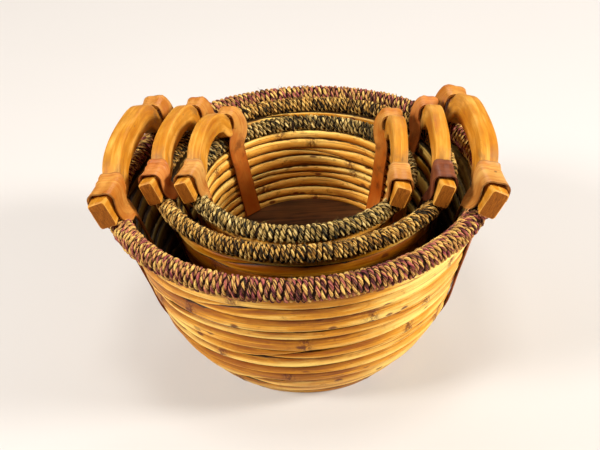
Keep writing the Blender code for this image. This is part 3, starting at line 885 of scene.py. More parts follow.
@dataclass
class CaneWall:
    """A basket's wall: stacked canes, each bent round once and joined to itself by a long scarf."""

    sizes: Sizes
    finish: CaneFinish
    scarfs: tuple[float, ...]
    roundness: float
    shingle: float = 0.15
    ridge: float = 0.00032
    wander: float = 0.0013
    end_wander: float = 0.0002
    steps: int = 132
    section_points: int = 22
    joint_gap: float = 0.00012
    scarf_turn: float = 0.62
    scarf_tip: float = 0.06
    first_node: float = 0.3
    node_gap: tuple[float, float] = (0.12, 0.30)
    node_swell: float = 0.0004
    swell_reach: float = 0.0022
    scar_reach: float = 0.0062
    rim_shade: float = 0.002           # height of the painted shadow line under the rope
    tuck: float = 0.003                # how far the highest cane runs on up into the rope

    def azimuths(self, start: float, nodes: Array, radius: float) -> Array:
        """Return a cane's stations: even steps over its turn and scarf, closer at its nodes.

        Args:
            start: where the cane begins, in radians.
            nodes: where its nodes are.
            radius: the wall's radius there.
        Returns:
            The stations, in order.
        """
        even = np.linspace(start, start + FULL_TURN + self.scarf_turn, self.steps)
        near = np.array([-0.008, -0.004, -0.0015, 0.0, 0.0015, 0.004, 0.008]) / radius
        close = np.add.outer(nodes, near).reshape(-1)
        every = np.sort(np.concatenate([even, close[(close > even[0]) & (close < even[-1])]]))
        return every[np.concatenate([[True], np.diff(every) > 1e-4])]

    def course(self, index: int, levels: Array, wanders: list[tuple[int, float]]) -> Surface:
        """Work out one cane.

        The section is a superellipse set square to the wall between the two joints, which wander a
        little round the ring. Over the scarf the cane's first stretch grows from the lower joint and
        its last one shrinks into the upper joint, so the two ends fill one course. At a node it swells
        by a bell curve.

        Args:
            index: the course's number, from 0 at the bottom.
            levels: radius and height of every joint.
            wanders: the seed and size of each joint's wander.
        Returns:
            The surface, in the row frame.
        """
        s = self.sizes
        rng = np.random.default_rng(s.seed + 17 * index)
        low, high = levels[index:index + 2]
        pitch, along, across = course_frame(low, high)
        radius = (low[0] + high[0]) / 2
        start = math.radians(self.scarfs[index])
        nodes = start + self.first_node + np.cumsum(rng.uniform(*self.node_gap, 12) / radius)
        nodes = nodes[nodes < start + FULL_TURN]
        turn = self.azimuths(start, nodes, radius)
        lower, upper = (ripple(turn, np.random.default_rng(seed), 6, size)
                        for seed, size in wanders[index:index + 2])
        passed = turn - start
        grow = np.clip(passed / self.scarf_turn, self.scarf_tip, 1.0)
        fade = np.clip((passed - FULL_TURN) / self.scarf_turn, 0.0, 1.0 - self.scarf_tip)
        bottom = lower + (pitch + upper - lower) * fade + self.joint_gap
        top = lower + (pitch + upper - lower) * grow - self.joint_gap
        middle, half = (bottom + top) / 2, (top - bottom) / 2
        tip = np.clip(2.2 * half / pitch + 0.25, 0.0, 1.0)
        off = (turn[:, None] - nodes) * radius
        bell, scar = (np.exp(-(off / reach) ** 2).sum(1)
                      for reach in (self.swell_reach, self.scar_reach))
        deep = s.cane_depth / 2 * tip * (1.0 + 0.05 * ripple(turn, rng, 5, 1.0))
        deep += self.node_swell * bell
        x, y = soft_box(self.section_points, deep, half, self.roundness)
        edge = np.abs(y) / half[:, None]
        lean = self.shingle * rng.uniform(0.6, 1.4)
        proud = rng.uniform(-0.0003, 0.0004) + ripple(turn, rng, 5, 0.0003)
        ridges = np.stack([ripple(turn, rng, 9, self.ridge, 2) for _ in range(self.section_points)], -1)
        ridges *= (1.0 - edge ** 6) * np.sign(x) * tip[:, None]
        out = x - y * lean + proud[:, None] + ridges
        up = y + middle[:, None]
        r, z = (low[k] + across[k] * out + along[k] * up for k in range(2))
        points = outward_at(turn)[:, None, :] * r[..., None]
        points[..., 2] += z
        tone = np.clip(rng.uniform(0.2, 0.8) + ripple(turn, rng, 7, 0.35), 0, 1)
        ones = np.ones_like(edge)
        height = y / half[:, None]
        # painted shadow: on the outer face, the highest cane's top just under the rope takes the dark
        # joint colour
        if index == len(s.course_shares) - 1:
            below = s.rim_height - s.rim_thickness / 2 - z
            edge = np.maximum(edge, np.clip(1.05 - below / self.rim_shade, 0, 1) * (x > 0))
        # shaded runs from 1 at an outer face's top to 0 at its bottom, the other way round on the inner
        # face, and inside marks the inner face; the material paints shadow, highlight and inner shade
        # from them
        values = {"tone": tone[:, None] * ones, "node": np.clip(scar, 0, 1)[:, None] * ones,
                  "edge": edge, "shaded": 0.5 + np.where(x > 0, height, -height) / 2,
                  "inside": np.clip(-4.0 * x / deep[:, None], 0, 1)}
        perimeter = np.linspace(0, 2 * (s.cane_depth + pitch), self.section_points + 1)
        offset = rng.uniform(0, 5.0)
        return skin(points + s.place, passed * radius + offset, perimeter + offset, False, values)

    def build(self) -> None:
        """Make every cane, lowest first, each standing for its own hoop."""
        s = self.sizes
        levels = s.wall_levels()
        levels[-1, 1] += self.tuck
        count = len(s.course_shares)
        thin = min(s.course_shares) / sum(s.course_shares)
        size = self.wander * min(1.0, thin * 20)
        wanders = [(s.seed + 1000 + k, size if 0 < k < count else self.end_wander)
                   for k in range(count + 1)]
        material = self.finish.material(f"rattan_{s.name}")
        for index in range(count):
            cane = self.course(index, levels, wanders)
            dress(f"{s.name}_cane_{index + 1:02d}", cane, [material], s.body,
                  f"{s.name}_cane_hoop_{index + 1:02d}")


@dataclass
class WoundRim:
    """A basket's rim: a round core wound with one two-strand rope, turn beside turn."""

    sizes: Sizes
    finishes: tuple[RopeFinish, RopeFinish]
    twist_length: float
    tufts: Tufts
    strand_share: float = 0.60
    steps_per_turn: int = 36
    strand_points: int = 8
    tilt: float = 0.05
    crowding: float = 0.11             # of a turn's spacing
    bulge: float = 0.00028
    slack: float = 0.16                # of a twist
    unevenness: float = 0.10           # of the strand's radius
    flatness: float = 0.96
    strand_offset: float = 3.7         # from one strand to the other along the blades' pattern
    ring_steps: int = 96
    core_steps: int = 12
    hairs: int = 150

    @property
    def rope_radius(self) -> float:
        """Half the rope's thickness, from the room that one turn has round the rim."""
        return math.pi * self.sizes.rim_radius / self.sizes.rope_turns * 1.03

    @property
    def winding_radius(self) -> float:
        """From the rim's middle to the rope's middle."""
        return self.sizes.rim_thickness / 2 - self.rope_radius * 0.95

    def around_core(self, azimuth: Array, wind: Array, reach: Array) -> tuple[Array, Array]:
        """Return points at a reach from the rim's middle line, and the directions out to them.

        Args:
            azimuth: places round the ring, in radians.
            wind: angles round the core, zero on its outer side.
            reach: distances from the rim's middle line.
        Returns:
            The points and the directions.
        """
        radial = outward_at(azimuth)
        away = radial * np.cos(wind)[:, None]
        away[:, 2] += np.sin(wind)
        points = radial * self.sizes.rim_radius + away * reach[:, None]
        points[:, 2] += self.sizes.rim_height
        return points, away

    def rope_line(self, wind: Array, rng: np.random.Generator) -> tuple[Array, Array]:
        """Work out the rope's middle line.

        The rope goes round the core once for each turn of the winding angle, and the ring's azimuth
        moves on by 1 / turns of it, plus a tilt that swings each turn's top back and its underside
        forward.

        Args:
            wind: winding angles in radians, zero on the rim's outer side.
            rng: where small unevenness comes from.
        Returns:
            The line's points, and the directions away from the core.
        """
        s = self.sizes
        count, knots = len(wind), s.rope_turns * 2
        tilt = self.tilt * self.winding_radius / s.rim_radius
        azimuth = wind / s.rope_turns + tilt * np.sin(wind + 0.5)
        azimuth += closed_noise(count, knots, rng, self.crowding) * FULL_TURN / s.rope_turns
        swell = closed_noise(count, knots, rng, self.bulge)
        return self.around_core(azimuth, wind, self.winding_radius + swell)

    def strand(self, which: int) -> Surface:
        """Work out one strand: a round tube whose middle circles the rope's middle once per twist.

        Its middle is line + reach * (away cos a + side sin a), where a grows evenly with the distance
        along the rope, and its section is a circle whose radius varies a little along it.

        Args:
            which: 0 or 1, half a twist apart.
        Returns:
            The strand, in the row frame.
        """
        s = self.sizes
        total = s.rope_turns * self.steps_per_turn
        wind = np.arange(total) * FULL_TURN / self.steps_per_turn
        line, away = self.rope_line(wind, np.random.default_rng(s.seed + 300))
        ahead = units(np.roll(line, -1, 0) - np.roll(line, 1, 0))
        side = units(np.cross(ahead, away))
        away = np.cross(side, ahead)
        distance = spread(line)
        length = distance[-1] + np.linalg.norm(line[0] - line[-1])
        twists = round(length / self.twist_length)
        slack = closed_noise(total, s.rope_turns, np.random.default_rng(s.seed + 305), self.slack)
        angle = -FULL_TURN * (distance / length * twists + which / 2 + slack)
        radius = self.rope_radius * self.strand_share
        own = np.random.default_rng(s.seed + 310 + which)
        thick = radius * (1.0 + closed_noise(total, s.rope_turns * 6, own, self.unevenness))
        swing = away * np.cos(angle)[:, None] + side * np.sin(angle)[:, None]
        middle = line + (self.rope_radius - radius) * swing
        forward = units(np.roll(middle, -1, 0) - np.roll(middle, 1, 0))
        first = units(swing - forward * dot(swing, forward))
        second = np.cross(forward, first)
        x, y = soft_box(self.strand_points, thick, thick * self.flatness, 2.0)
        points = middle[:, None] + first[:, None] * x[..., None] + second[:, None] * y[..., None]
        # painted shade: the hollow value darkens a strand where it lies below the rope's middle, in the
        # gaps between turns, and less where it faces the other strand
        height = np.einsum("ijk,ik->ij", points - line[:, None], away) / self.rope_radius
        valley = np.clip((0.30 - x / thick[:, None]) / 0.9, 0, 1) * 0.55
        hollow_shade = np.maximum(np.clip(0.42 - height * 0.9, 0, 1), valley)
        along = np.concatenate([distance, [length]]) + which * self.strand_offset
        around = np.linspace(0, FULL_TURN * radius, self.strand_points + 1)
        return skin(points + s.place, along, around, True, {"hollow_shade": hollow_shade})

    def core(self) -> Surface:
        """Work out the core: a plain ring that fills the winding.

        Returns:
            The ring, in the row frame.
        """
        s = self.sizes
        radius = self.winding_radius + self.rope_radius * 0.10
        turn, wind = (np.linspace(0, FULL_TURN, steps + 1)
                      for steps in (self.ring_steps, self.core_steps))
        wide = s.rim_radius + radius * np.cos(wind[:-1])
        points = outward_at(turn[:-1])[:, None] * wide[None, :, None]
        points[..., 2] += s.rim_height + radius * np.sin(wind[:-1])
        # painted shade: the whole core takes the dark hollow colour, so it shows as shaded gaps between
        # turns
        hollow_shade = np.ones(points.shape[:2])
        return skin(points + s.place, turn * s.rim_radius, wind * radius, True, {"hollow_shade": hollow_shade})

    def fibre_ends(self) -> Surface:
        """Work out the loose fibre ends: thin tapering hairs that curl back along the rope.

        Each hair's middle line is root + along * t + away * (t - t^2 / 2) * rise, for t from 0 to 1.
        The tufts come after the scattered hairs, where their own numbers put them.

        Returns:
            All the hairs as one surface, in the row frame.
        """
        s = self.sizes
        rng = np.random.default_rng(s.seed + 400)
        own = np.array(self.tufts).reshape(-1, 6)
        count, rows, columns = self.hairs + len(own), 5, 3
        azimuth, wind = rng.uniform(0, FULL_TURN, count), rng.uniform(-0.9, 2.6, count)
        heading, long = rng.uniform(0, FULL_TURN, count), rng.uniform(0.004, 0.011, count)
        rise = rng.uniform(0.15, 0.75, count)
        stout, depth, hollow_shade = np.full(count, 0.00026), np.full(count, -0.0009), np.zeros(count)
        tuft = slice(self.hairs, None)
        azimuth[tuft], wind[tuft], heading[tuft] = np.radians(own[:, :3]).T
        # each tuft's last number sets how much of the dark hollow colour its hairs take; the scattered
        # hairs take none
        long[tuft], stout[tuft], hollow_shade[tuft] = own[:, 3:].T
        depth[tuft], rise[tuft] = 0.0005, 0.2
        root, away = self.around_core(azimuth, wind, s.rim_thickness / 2 + depth)
        ring = tangent_at(azimuth)
        bind = np.cross(ring, away)
        along = ring * np.cos(heading)[:, None] + bind * np.sin(heading)[:, None]
        t = np.linspace(0, 1, rows)
        line = (root[:, None] + along[:, None] * (long[:, None] * t)[..., None]
                + away[:, None] * (long * rise)[:, None, None] * (t - t ** 2 / 2)[None, :, None])
        across = np.cross(along, away)
        thick = (stout[:, None] * (1.05 - t ** 3))[..., None]
        turns = FULL_TURN * np.arange(columns) / columns
        points = (line[:, :, None] + (across[:, None, None] * (thick * np.cos(turns))[..., None]
                                      + away[:, None, None] * (thick * np.sin(turns))[..., None]))
        distances, around = np.linspace(0, 0.01, rows), np.linspace(0, 0.001, columns + 1)
        return merged([skin(hair, distances, around, False, {"hollow_shade": np.full((rows, columns), dark)})
                       for hair, dark in zip(points + s.place, hollow_shade)])

    def build(self) -> None:
        """Make the core, the two strands and the loose fibre ends."""
        s = self.sizes
        pair = [finish.material(f"seagrass_{s.name}_{k}") for k, finish in enumerate(self.finishes)]
        dress(f"{s.name}_rim_core", self.core(), [pair[1]], s.body, f"{s.name}_rope_rim")
        for which in range(2):
            dress(f"{s.name}_rope_strand_{which + 1}", self.strand(which), [pair[which]], s.body,
                  None, 180.0)
        dress(f"{s.name}_fibre_ends", self.fibre_ends(), [pair[0]], s.body, None, 180.0)


@dataclass
class BentHandle:
    """One omega-shaped handle: a softly squared bar with out-turned, square-cut feet."""

    sizes: Sizes
    handle: Handle
    finish: BentWoodFinish
    end_finish: EndGrainFinish
    section_points: int = 28
    squareness: float = 8.5
    end_bevel: float = 0.0013
    smoothing: float = 0.0045
    foot_twist: float = 14.0
    foot_drop: float = 0.15            # how much deeper the foot's end is
    ankle_hollow: float = 0.003
    ankle_turn: float = 62.0
    arch_pull_share: float = 0.46
    shoulder_share: float = 0.25
    limb_reach: float = 0.016          # half width of the band of handling stains
    line_step: float = 0.002
    swell_knots: int = 14
    swell: float = 0.018

    @property
    def nearer(self) -> int:
        """Which way along the handle its near foot lies."""
        return -1 if self.handle.side is Side.RIGHT else 1

    def frame_of(self) -> tuple[Array, Array, Array, Array]:
        """Return the foot line's origin, and the directions along, up and out of the handle's plane.

        Returns:
            The origin and the three directions, in the basket's frame.
        """
        s, h = self.sizes, self.handle
        azimuth, lean = math.radians(h.azimuth), math.radians(h.lean)
        outward = outward_at(azimuth)
        up = UPRIGHT * math.cos(lean) + outward * math.sin(lean)
        out = outward * math.cos(lean) - UPRIGHT * math.sin(lean)
        return outward * s.strap_chord + UPRIGHT * s.rim_height, tangent_at(azimuth), up, out

    def foot_height(self) -> float:
        """Return the foot's middle height above the rim's middle, in the handle's leaning plane.

        Returns:
            The height, in metres.
        """
        s = self.sizes
        ankle = s.strap_reach - s.strap_width / 2
        bulge = math.sqrt(s.rim_radius ** 2 - ankle ** 2) - s.strap_chord
        rise = bulge * math.sin(math.radians(self.handle.lean))
        return s.rim_thickness / 2 + rise + SEAT_GAP + s.handle_width / 2

    def half_line(self, trim: float) -> Array:
        """Return half of the middle line: a level foot, a round bend, then a cubic arch.

        Args:
            trim: how much shorter the foot is.
        Returns:
            Rows of (reach, height), from the foot's end to the crown.
        """
        s = self.sizes
        foot, top = self.foot_height(), s.handle_height - s.handle_width / 2
        bend_start = s.strap_reach - s.strap_width / 2 - SEAT_GAP
        radius, whole_turn = s.handle_width / 2 + self.ankle_hollow, math.radians(self.ankle_turn)
        turn = whole_turn * np.arange(1, 9) / 8
        bend = np.stack([bend_start - radius * np.sin(turn), foot + radius * (1 - np.cos(turn))], -1)
        shoulder, crown = bend[-1], np.array([0.0, top])
        slope = np.array([-math.cos(whole_turn), math.sin(whole_turn)])
        pull = shoulder + slope * shoulder[0] * self.shoulder_share
        crown_pull = crown + np.array([shoulder[0] * self.arch_pull_share, 0.0])
        t = (np.arange(1, 13) / 12)[:, None]
        arch = (shoulder * (1 - t) ** 3 + pull * 3 * (1 - t) ** 2 * t
                + crown_pull * 3 * (1 - t) * t ** 2 + crown * t ** 3)
        level = np.stack([np.linspace(s.foot_end - trim, bend_start, 12), np.full(12, foot)], -1)
        return np.concatenate([level, bend, arch])

    def line(self) -> Array:
        """Return the whole middle line at even steps, smoothed by a bell-shaped mean.

        Returns:
            Rows of (reach, height), from end to end.
        """
        trims = (0.0, self.sizes.far_foot_trim)
        first, second = (self.half_line(trim) for trim in trims[::-self.nearer])
        rough = np.concatenate([first[:-1] * [-1, 1], second[::-1]])
        distance = spread(rough)
        even = np.linspace(0, distance[-1], int(distance[-1] / self.line_step))
        path = np.stack([np.interp(even, distance, column) for column in rough.T], -1)
        bell = np.exp(-((even[:, None] - even[None, :]) / self.smoothing) ** 2)
        fixed = np.clip(np.minimum(even, even[-1] - even) / (3 * self.smoothing), 0, 1)[:, None]
        return path * (1 - fixed) + (bell @ path / bell.sum(1, keepdims=True)) * fixed

    def surface(self) -> Surface:
        """Work out the bar: the section carried along the middle line, bevelled at its ends.

        Returns:
            The bar, in the row frame.
        """
        s = self.sizes
        origin, along, up, out = self.frame_of()
        inner = self.line()
        forward = units(np.gradient(inner, axis=0))
        forward = np.concatenate([forward[:1], forward, forward[-1:]])
        path = np.concatenate([inner[:1], inner, inner[-1:]])
        path[1] = path[0] + forward[0] * self.end_bevel
        path[-2] = path[-1] - forward[-1] * self.end_bevel
        normal = np.stack([-forward[:, 1], forward[:, 0]], -1)
        reach = np.abs(path[:, 0])
        strap_edge = s.strap_reach + s.strap_width / 2
        past = np.clip(reach - strap_edge, 0, None) / (s.foot_end - strap_edge)
        twist = (np.radians(self.foot_twist) * past)[:, None]
        rng = np.random.default_rng(s.seed + 500 + len(self.handle.side.value))
        distance = spread(path)
        knots = rng.normal(1.0, self.swell, self.swell_knots)
        swell = np.interp(distance / distance[-1], np.linspace(0, 1, self.swell_knots), knots)
        wide, deep = s.handle_width / 2 * swell, s.handle_depth / 2 * (2 - swell)
        shrink = np.zeros(len(path))
        shrink[[0, -1]] = self.end_bevel
        drop = s.handle_width * self.foot_drop * past / 2
        x, y = soft_box(self.section_points, wide + drop - shrink, deep - shrink, self.squareness)
        x -= drop[:, None]
        across = x * np.cos(twist) - y * np.sin(twist)
        depth = y * np.cos(twist) + x * np.sin(twist)
        plane = path[:, None] + normal[:, None] * across[..., None]
        points = origin + plane[..., :1] * along + plane[..., 1:] * up + depth[..., None] * out
        corner = (np.abs(x + drop[:, None]) / wide[:, None]) ** 6 * (np.abs(y) / deep[:, None]) ** 6
        edge = np.clip(corner / corner.max() * 1.6, 0, 1)
        edge[[0, -1]] = 1.0
        limb = np.exp(-((reach - strap_edge + s.strap_width * 1.35) / self.limb_reach) ** 2)
        section = np.stack([x[len(path) // 2], y[len(path) // 2]], -1)
        around = spread(np.concatenate([section, section[:1]]))
        offset = rng.uniform(0, 4)
        values = {"edge": edge, "limb": limb[:, None] * np.ones_like(edge)}
        return skin(points + s.place, distance + offset, around + offset, False, values, 1)

    def build(self) -> None:
        """Make the handle, standing for its own node."""
        s = self.sizes
        name = f"{s.name}_handle_{self.handle.side.value}"
        materials = [self.finish.material(f"wood_{name}"),
                     self.end_finish.material(f"end_grain_{name}")]
        dress(f"{name}_bar", self.surface(), materials, s.body, name, 40.0)


@dataclass
class PeelStrap:
    """One strap: a band of peel over a handle's foot, with one leg inside the wall and one outside."""

    sizes: Sizes
    handle: BentHandle
    guest: Sizes | None
    sign: int
    label: str
    finish: PeelFinish
    folds: float
    leg_width: float
    across_points: int = 17
    play: float = 0.0009
    tuck_share: float = 0.3
    bare_end: float = 0.0085           # stretch of the foot that shows past the strap
    collar_reach: float = 0.0035       # how far the strap runs up the ankle, past its level width
    corner_cut: float = 0.34
    flare: float = 0.0019
    cup: float = 0.0004
    sway: float = 0.014
    waver: float = 0.00018
    draw: float = 0.006                # how far the inner leg's top is drawn to the handle's middle
    far_gap: float = 0.0025            # how far a far strap's inner leg stands off its foot
    bend_share: float = 0.45           # where the innermost legs bend, as a share of the wall's height
    leg_share: float = 0.52            # how much of its own share an outer leg shows
    leg_gap: float = 0.0006            # between an outer leg and the wall
    outer_points: int = 5
    steps: int = 7

    def leg_bend(self, azimuth: float) -> tuple[float, float]:
        """Return where the inner leg bends: at the wall, or just outside a guest's foot.

        Args:
            azimuth: where the strap stands, in radians.
        Returns:
            The bend's radius and height.
        """
        s, guest = self.sizes, self.guest
        if guest is None:
            height = s.wall_top * self.bend_share
            return s.inner_face(height) - s.leg_stand_off - s.strap_clear, height
        offset = guest.place - s.place
        low, high = guest.wall_levels()[:2]
        corner = (low + high) / 2 + course_frame(low, high)[2] * guest.cane_depth / 2
        sideways = float(offset @ tangent_at(azimuth))
        reach = float(offset @ outward_at(azimuth)) + math.sqrt(corner[0] ** 2 - sideways ** 2)
        return reach + s.strap_clear, float(offset[2] + corner[1])

    def stations(self) -> Array:
        """Work out the strap's middle line with what it carries at each station.

        Returns:
            A row for each station: its point, its width's direction, its outer face's direction, its
            reach towards the arch and towards the foot's end, its share of the collar, how much it is
            on the foot, and how far down a leg.
        """
        s, h = self.sizes, self.handle
        origin, along, up, out = h.frame_of()
        azimuth = math.radians(h.handle.azimuth) + self.sign * math.atan2(s.strap_reach, s.strap_chord)
        outward, tangent = outward_at(azimuth), tangent_at(azimuth)
        clear, rim_half = s.strap_clear, s.rim_thickness / 2
        foot = origin + along * self.sign * s.strap_reach + up * h.foot_height()
        deep = s.handle_depth / 2 + self.play + s.strap_thickness / 2
        wide = s.handle_width / 2 + self.play + s.strap_thickness / 2
        low = s.handle_width * self.tuck_share
        inner_side = min(s.rim_radius - rim_half, s.inner_face(s.wall_top))
        floor_reach = s.floor_radius() - clear - s.cane_depth / 4
        start = outward * floor_reach + UPRIGHT * (s.floor_thickness + clear)
        bend_radius, bend_height = self.leg_bend(azimuth)
        bend = outward * bend_radius + UPRIGHT * bend_height
        drawn = azimuth - self.sign * self.draw / s.rim_radius
        inward, level = -outward_at(drawn), tangent_at(drawn)
        inside = -inward * (inner_side - clear - SEAT_GAP) + UPRIGHT * s.rim_height
        outside = outward * (s.rim_radius + rim_half + clear + SEAT_GAP) + UPRIGHT * s.rim_height
        leg, arch = self.leg_width / 2, s.strap_width / 2 + self.collar_reach
        near = self.sign == h.nearer
        foot_reach = s.rim_radius * (s.handle_span_share - s.strap_span_share) - self.bare_end
        end = foot_reach if near else arch
        turning, away = (along, 0.0) if near else (along * 0.35 + tangent * 0.65, self.far_gap)
        flat, collar, turned_over = (leg, leg, 0, 0, 1.0), (arch, end, 1, 1, 0), (arch, end, 0.75, 1, 0)
        kept = 1 - self.corner_cut
        rows = [
            (start, tangent, -outward, *flat),
            (start * 0.5 + bend * 0.5, tangent, -outward, *flat),
            (bend, tangent, -outward, *flat),
            (bend * 0.5 + inside * 0.5, level, inward, leg, leg, 0, 0, 0.9),
            (inside, level, inward, leg, leg * 1.1, 0, 0.1, 0.6),
            (foot - out * (deep + away) - up * low, turning, -out,
             leg * 1.1, max(end * 0.9, leg * 1.1), 0.15, 0.7, 0.3),
            (foot - out * (deep + away / 2) + up * wide * kept, along, -out, *turned_over),
            (foot - out * deep * kept + up * wide, along, up, *collar),
            (foot + up * wide, along, up, *collar),
            (foot + out * deep * kept + up * wide, along, up, *collar),
            (foot + out * deep + up * wide * kept, along, out, *turned_over),
            (foot + out * deep - up * low, along, out, leg * 1.2, end * 0.85, 0.15, 0.7, 0.2),
            (outside, tangent, outward, leg, leg * 1.1, 0, 0, 0.6),
        ]
        leg_end = s.rim_height * s.outer_leg_share * self.leg_share
        under_rim = s.wall_top - s.rim_thickness * 0.2
        for share in np.linspace(0, 1, self.outer_points):
            height = under_rim + (leg_end - under_rim) * share
            turned = azimuth - self.sign * math.radians(s.outer_leg_drift * 0.5) * share
            reach = float(s.wall_radius(height)) + s.cane_depth / 2 + clear + self.leg_gap
            point = outward_at(turned) * reach + UPRIGHT * height
            rows.append((point, tangent_at(turned), outward_at(turned), *flat))
        return np.array([[*row[0], *row[1], *row[2], *row[3:]] for row in rows])

    def climb(self, toward_arch: Array) -> Array:
        """Return how far the bar's outer face has risen at a reach from the strap towards the arch.

        Args:
            toward_arch: reaches from the strap's middle.
        Returns:
            The rise at each.
        """
        s = self.sizes
        line = self.handle.line()
        line = line[line[:, 0] > 0][::-1] if self.sign > 0 else line[line[:, 0] < 0]
        step = units(np.gradient(line, axis=0))
        normal = np.stack([-step[:, 1], step[:, 0]], -1) * -self.sign
        face = line + normal * (s.handle_width / 2 + self.play + s.strap_thickness / 2)
        reach = s.strap_reach - np.abs(face[:, 0])
        order = np.argsort(reach)
        return np.interp(toward_arch, reach[order], face[order, 1] - face[0, 1])

    def surface(self) -> Surface:
        """Work out the strap.

        A flat closed section is carried along the middle line, reaching further towards the foot's end
        than its legs are wide. Its edge over the ankle climbs with the bar, its other edge flares off
        the foot, and folds run along the collar as sin^2 ridges.

        Returns:
            The surface, in the row frame.
        """
        s = self.sizes
        rows = curve_through(self.stations(), self.steps)
        count, columns = len(rows), 2 * self.across_points
        point, width, face = rows[:, :3], rows[:, 3:6], rows[:, 6:9]
        arch_reach, end_reach, collar, on_foot, leg = np.clip(rows[:, 9:14], 0, None).T[..., None]
        step = units(np.gradient(point, axis=0))
        width = units(width - step * dot(width, step))
        normal = np.cross(width, step)
        normal *= np.sign(dot(normal, face))
        share = np.linspace(-1, 1, self.across_points)
        rng = np.random.default_rng(s.seed + 600 + self.sign + len(self.label))
        sway = 1.0 + closed_noise(count, 11, rng, self.sway)[:, None]
        toward_arch = np.where(share > 0, arch_reach, end_reach) * share * sway
        climb = self.climb(toward_arch) * np.minimum(collar, 1.0)
        lip = np.clip(-share, 0, 1) ** 3
        ridge = np.sin(np.clip((share - 0.1) / 0.9, 0, 1) * np.pi * 3) ** 2 * self.folds
        waver = closed_noise(count, 16, rng, self.waver)[:, None] * np.abs(share) ** 3
        lift = on_foot * (self.flare * lip + ridge) + waver * on_foot
        cup = self.cup * np.minimum(leg, 1.0) * share ** 2
        up = self.handle.frame_of()[2]
        middle = (point[:, None] - width[:, None] * self.sign * toward_arch[..., None]
                  + normal[:, None] * (lift + cup)[..., None] + up * climb[..., None])
        half = s.strap_thickness / 2 * (1.0 - 0.55 * np.abs(share) ** 6)
        thick = normal[:, None] * half[None, :, None]
        points = np.concatenate([middle + thick, (middle - thick)[:, ::-1]], 1)
        ones = np.ones((count, columns))
        head = np.clip(1.0 - np.abs(np.linspace(-1, 1, count)), 0, 1)
        values = {"edge": np.abs(np.concatenate([share, share[::-1]])) * ones, "leg": leg * ones,
                  "head": head[:, None] * ones}
        around = np.concatenate([share, 2.1 - share[::-1], [3.2]]) * s.strap_width / 2
        offset = rng.uniform(0, 4)
        return skin(points + s.place, spread(point) + offset, around + offset, False, values)

    def build(self) -> None:
        """Make the strap, standing for its own node."""
        s = self.sizes
        name = f"{s.name}_strap_{self.label}"
        dress(f"{name}_peel", self.surface(), [self.finish.material(f"peel_{name}")], s.body,
              name)


@dataclass
class FloorBoard:
    """A basket's floor: a flat round board with a softened edge."""

    sizes: Sizes
    finish: BoardFinish
    steps: int = 96
    softening: float = 0.001

    def build(self) -> None:
        """Make the board: a low profile turned about the axis, flat above and below."""
        s = self.sizes
        radius, top, soft = s.floor_radius(), s.floor_thickness, self.softening
        half, hub = radius * 0.5, radius * 0.02
        profile = np.array([[half, 0.0], [radius - soft, 0.0], [radius, soft], [radius, top - soft],
                            [radius - soft, top], [half, top], [hub, top], [hub, 0.0]])
        turn = np.linspace(0, FULL_TURN, self.steps + 1)
        points = outward_at(turn[:-1])[:, None] * profile[None, :, :1]
        points[..., 2] += profile[:, 1]
        around = np.linspace(0, radius * 2, len(profile) + 1)
        board = skin(points + s.place, turn * radius, around, True, {})
        dress(f"{s.name}_board", board, [self.finish.material(f"board_{s.name}")], s.body,
              f"{s.name}_floor_board")


@dataclass
class Basket:
    """One whole basket, with the finishes that set it apart from the others."""

    sizes: Sizes
    cane: CaneFinish
    scarfs: tuple[float, ...]
    roundness: float
    ropes: tuple[RopeFinish, RopeFinish]
    twist_length: float
    peels: dict[str, PeelFinish]
    folds: dict[str, float] = field(default_factory=dict)
    guest: Sizes | None = None
    leg_width: float = 0.018
    tufts: Tufts = ()

    def build(self) -> None:
        """Make the wall, rim, floor, handles and straps."""
        s = self.sizes
        CaneWall(s, self.cane, self.scarfs, self.roundness).build()
        WoundRim(s, self.ropes, self.twist_length, self.tufts).build()
        FloorBoard(s, BoardFinish()).build()
        for handle in s.handles:
            bar = BentHandle(s, handle, BentWoodFinish(), EndGrainFinish())
            bar.build()
            for sign, place in ((bar.nearer, "near"), (-bar.nearer, "far")):
                label = f"{handle.side.value}_{place}"
                peel, folds = self.peels.get(label, PeelFinish()), self.folds.get(label, 0.0)
                PeelStrap(s, bar, self.guest, sign, label, peel, folds, self.leg_width).build()


LARGE_RIM = 0.198                  # radius of the large rim's middle line
MEDIUM_STEP = 0.043                # from the large rim in to the medium one
SMALL_STEP = 0.0397                # from the medium rim in to the small one

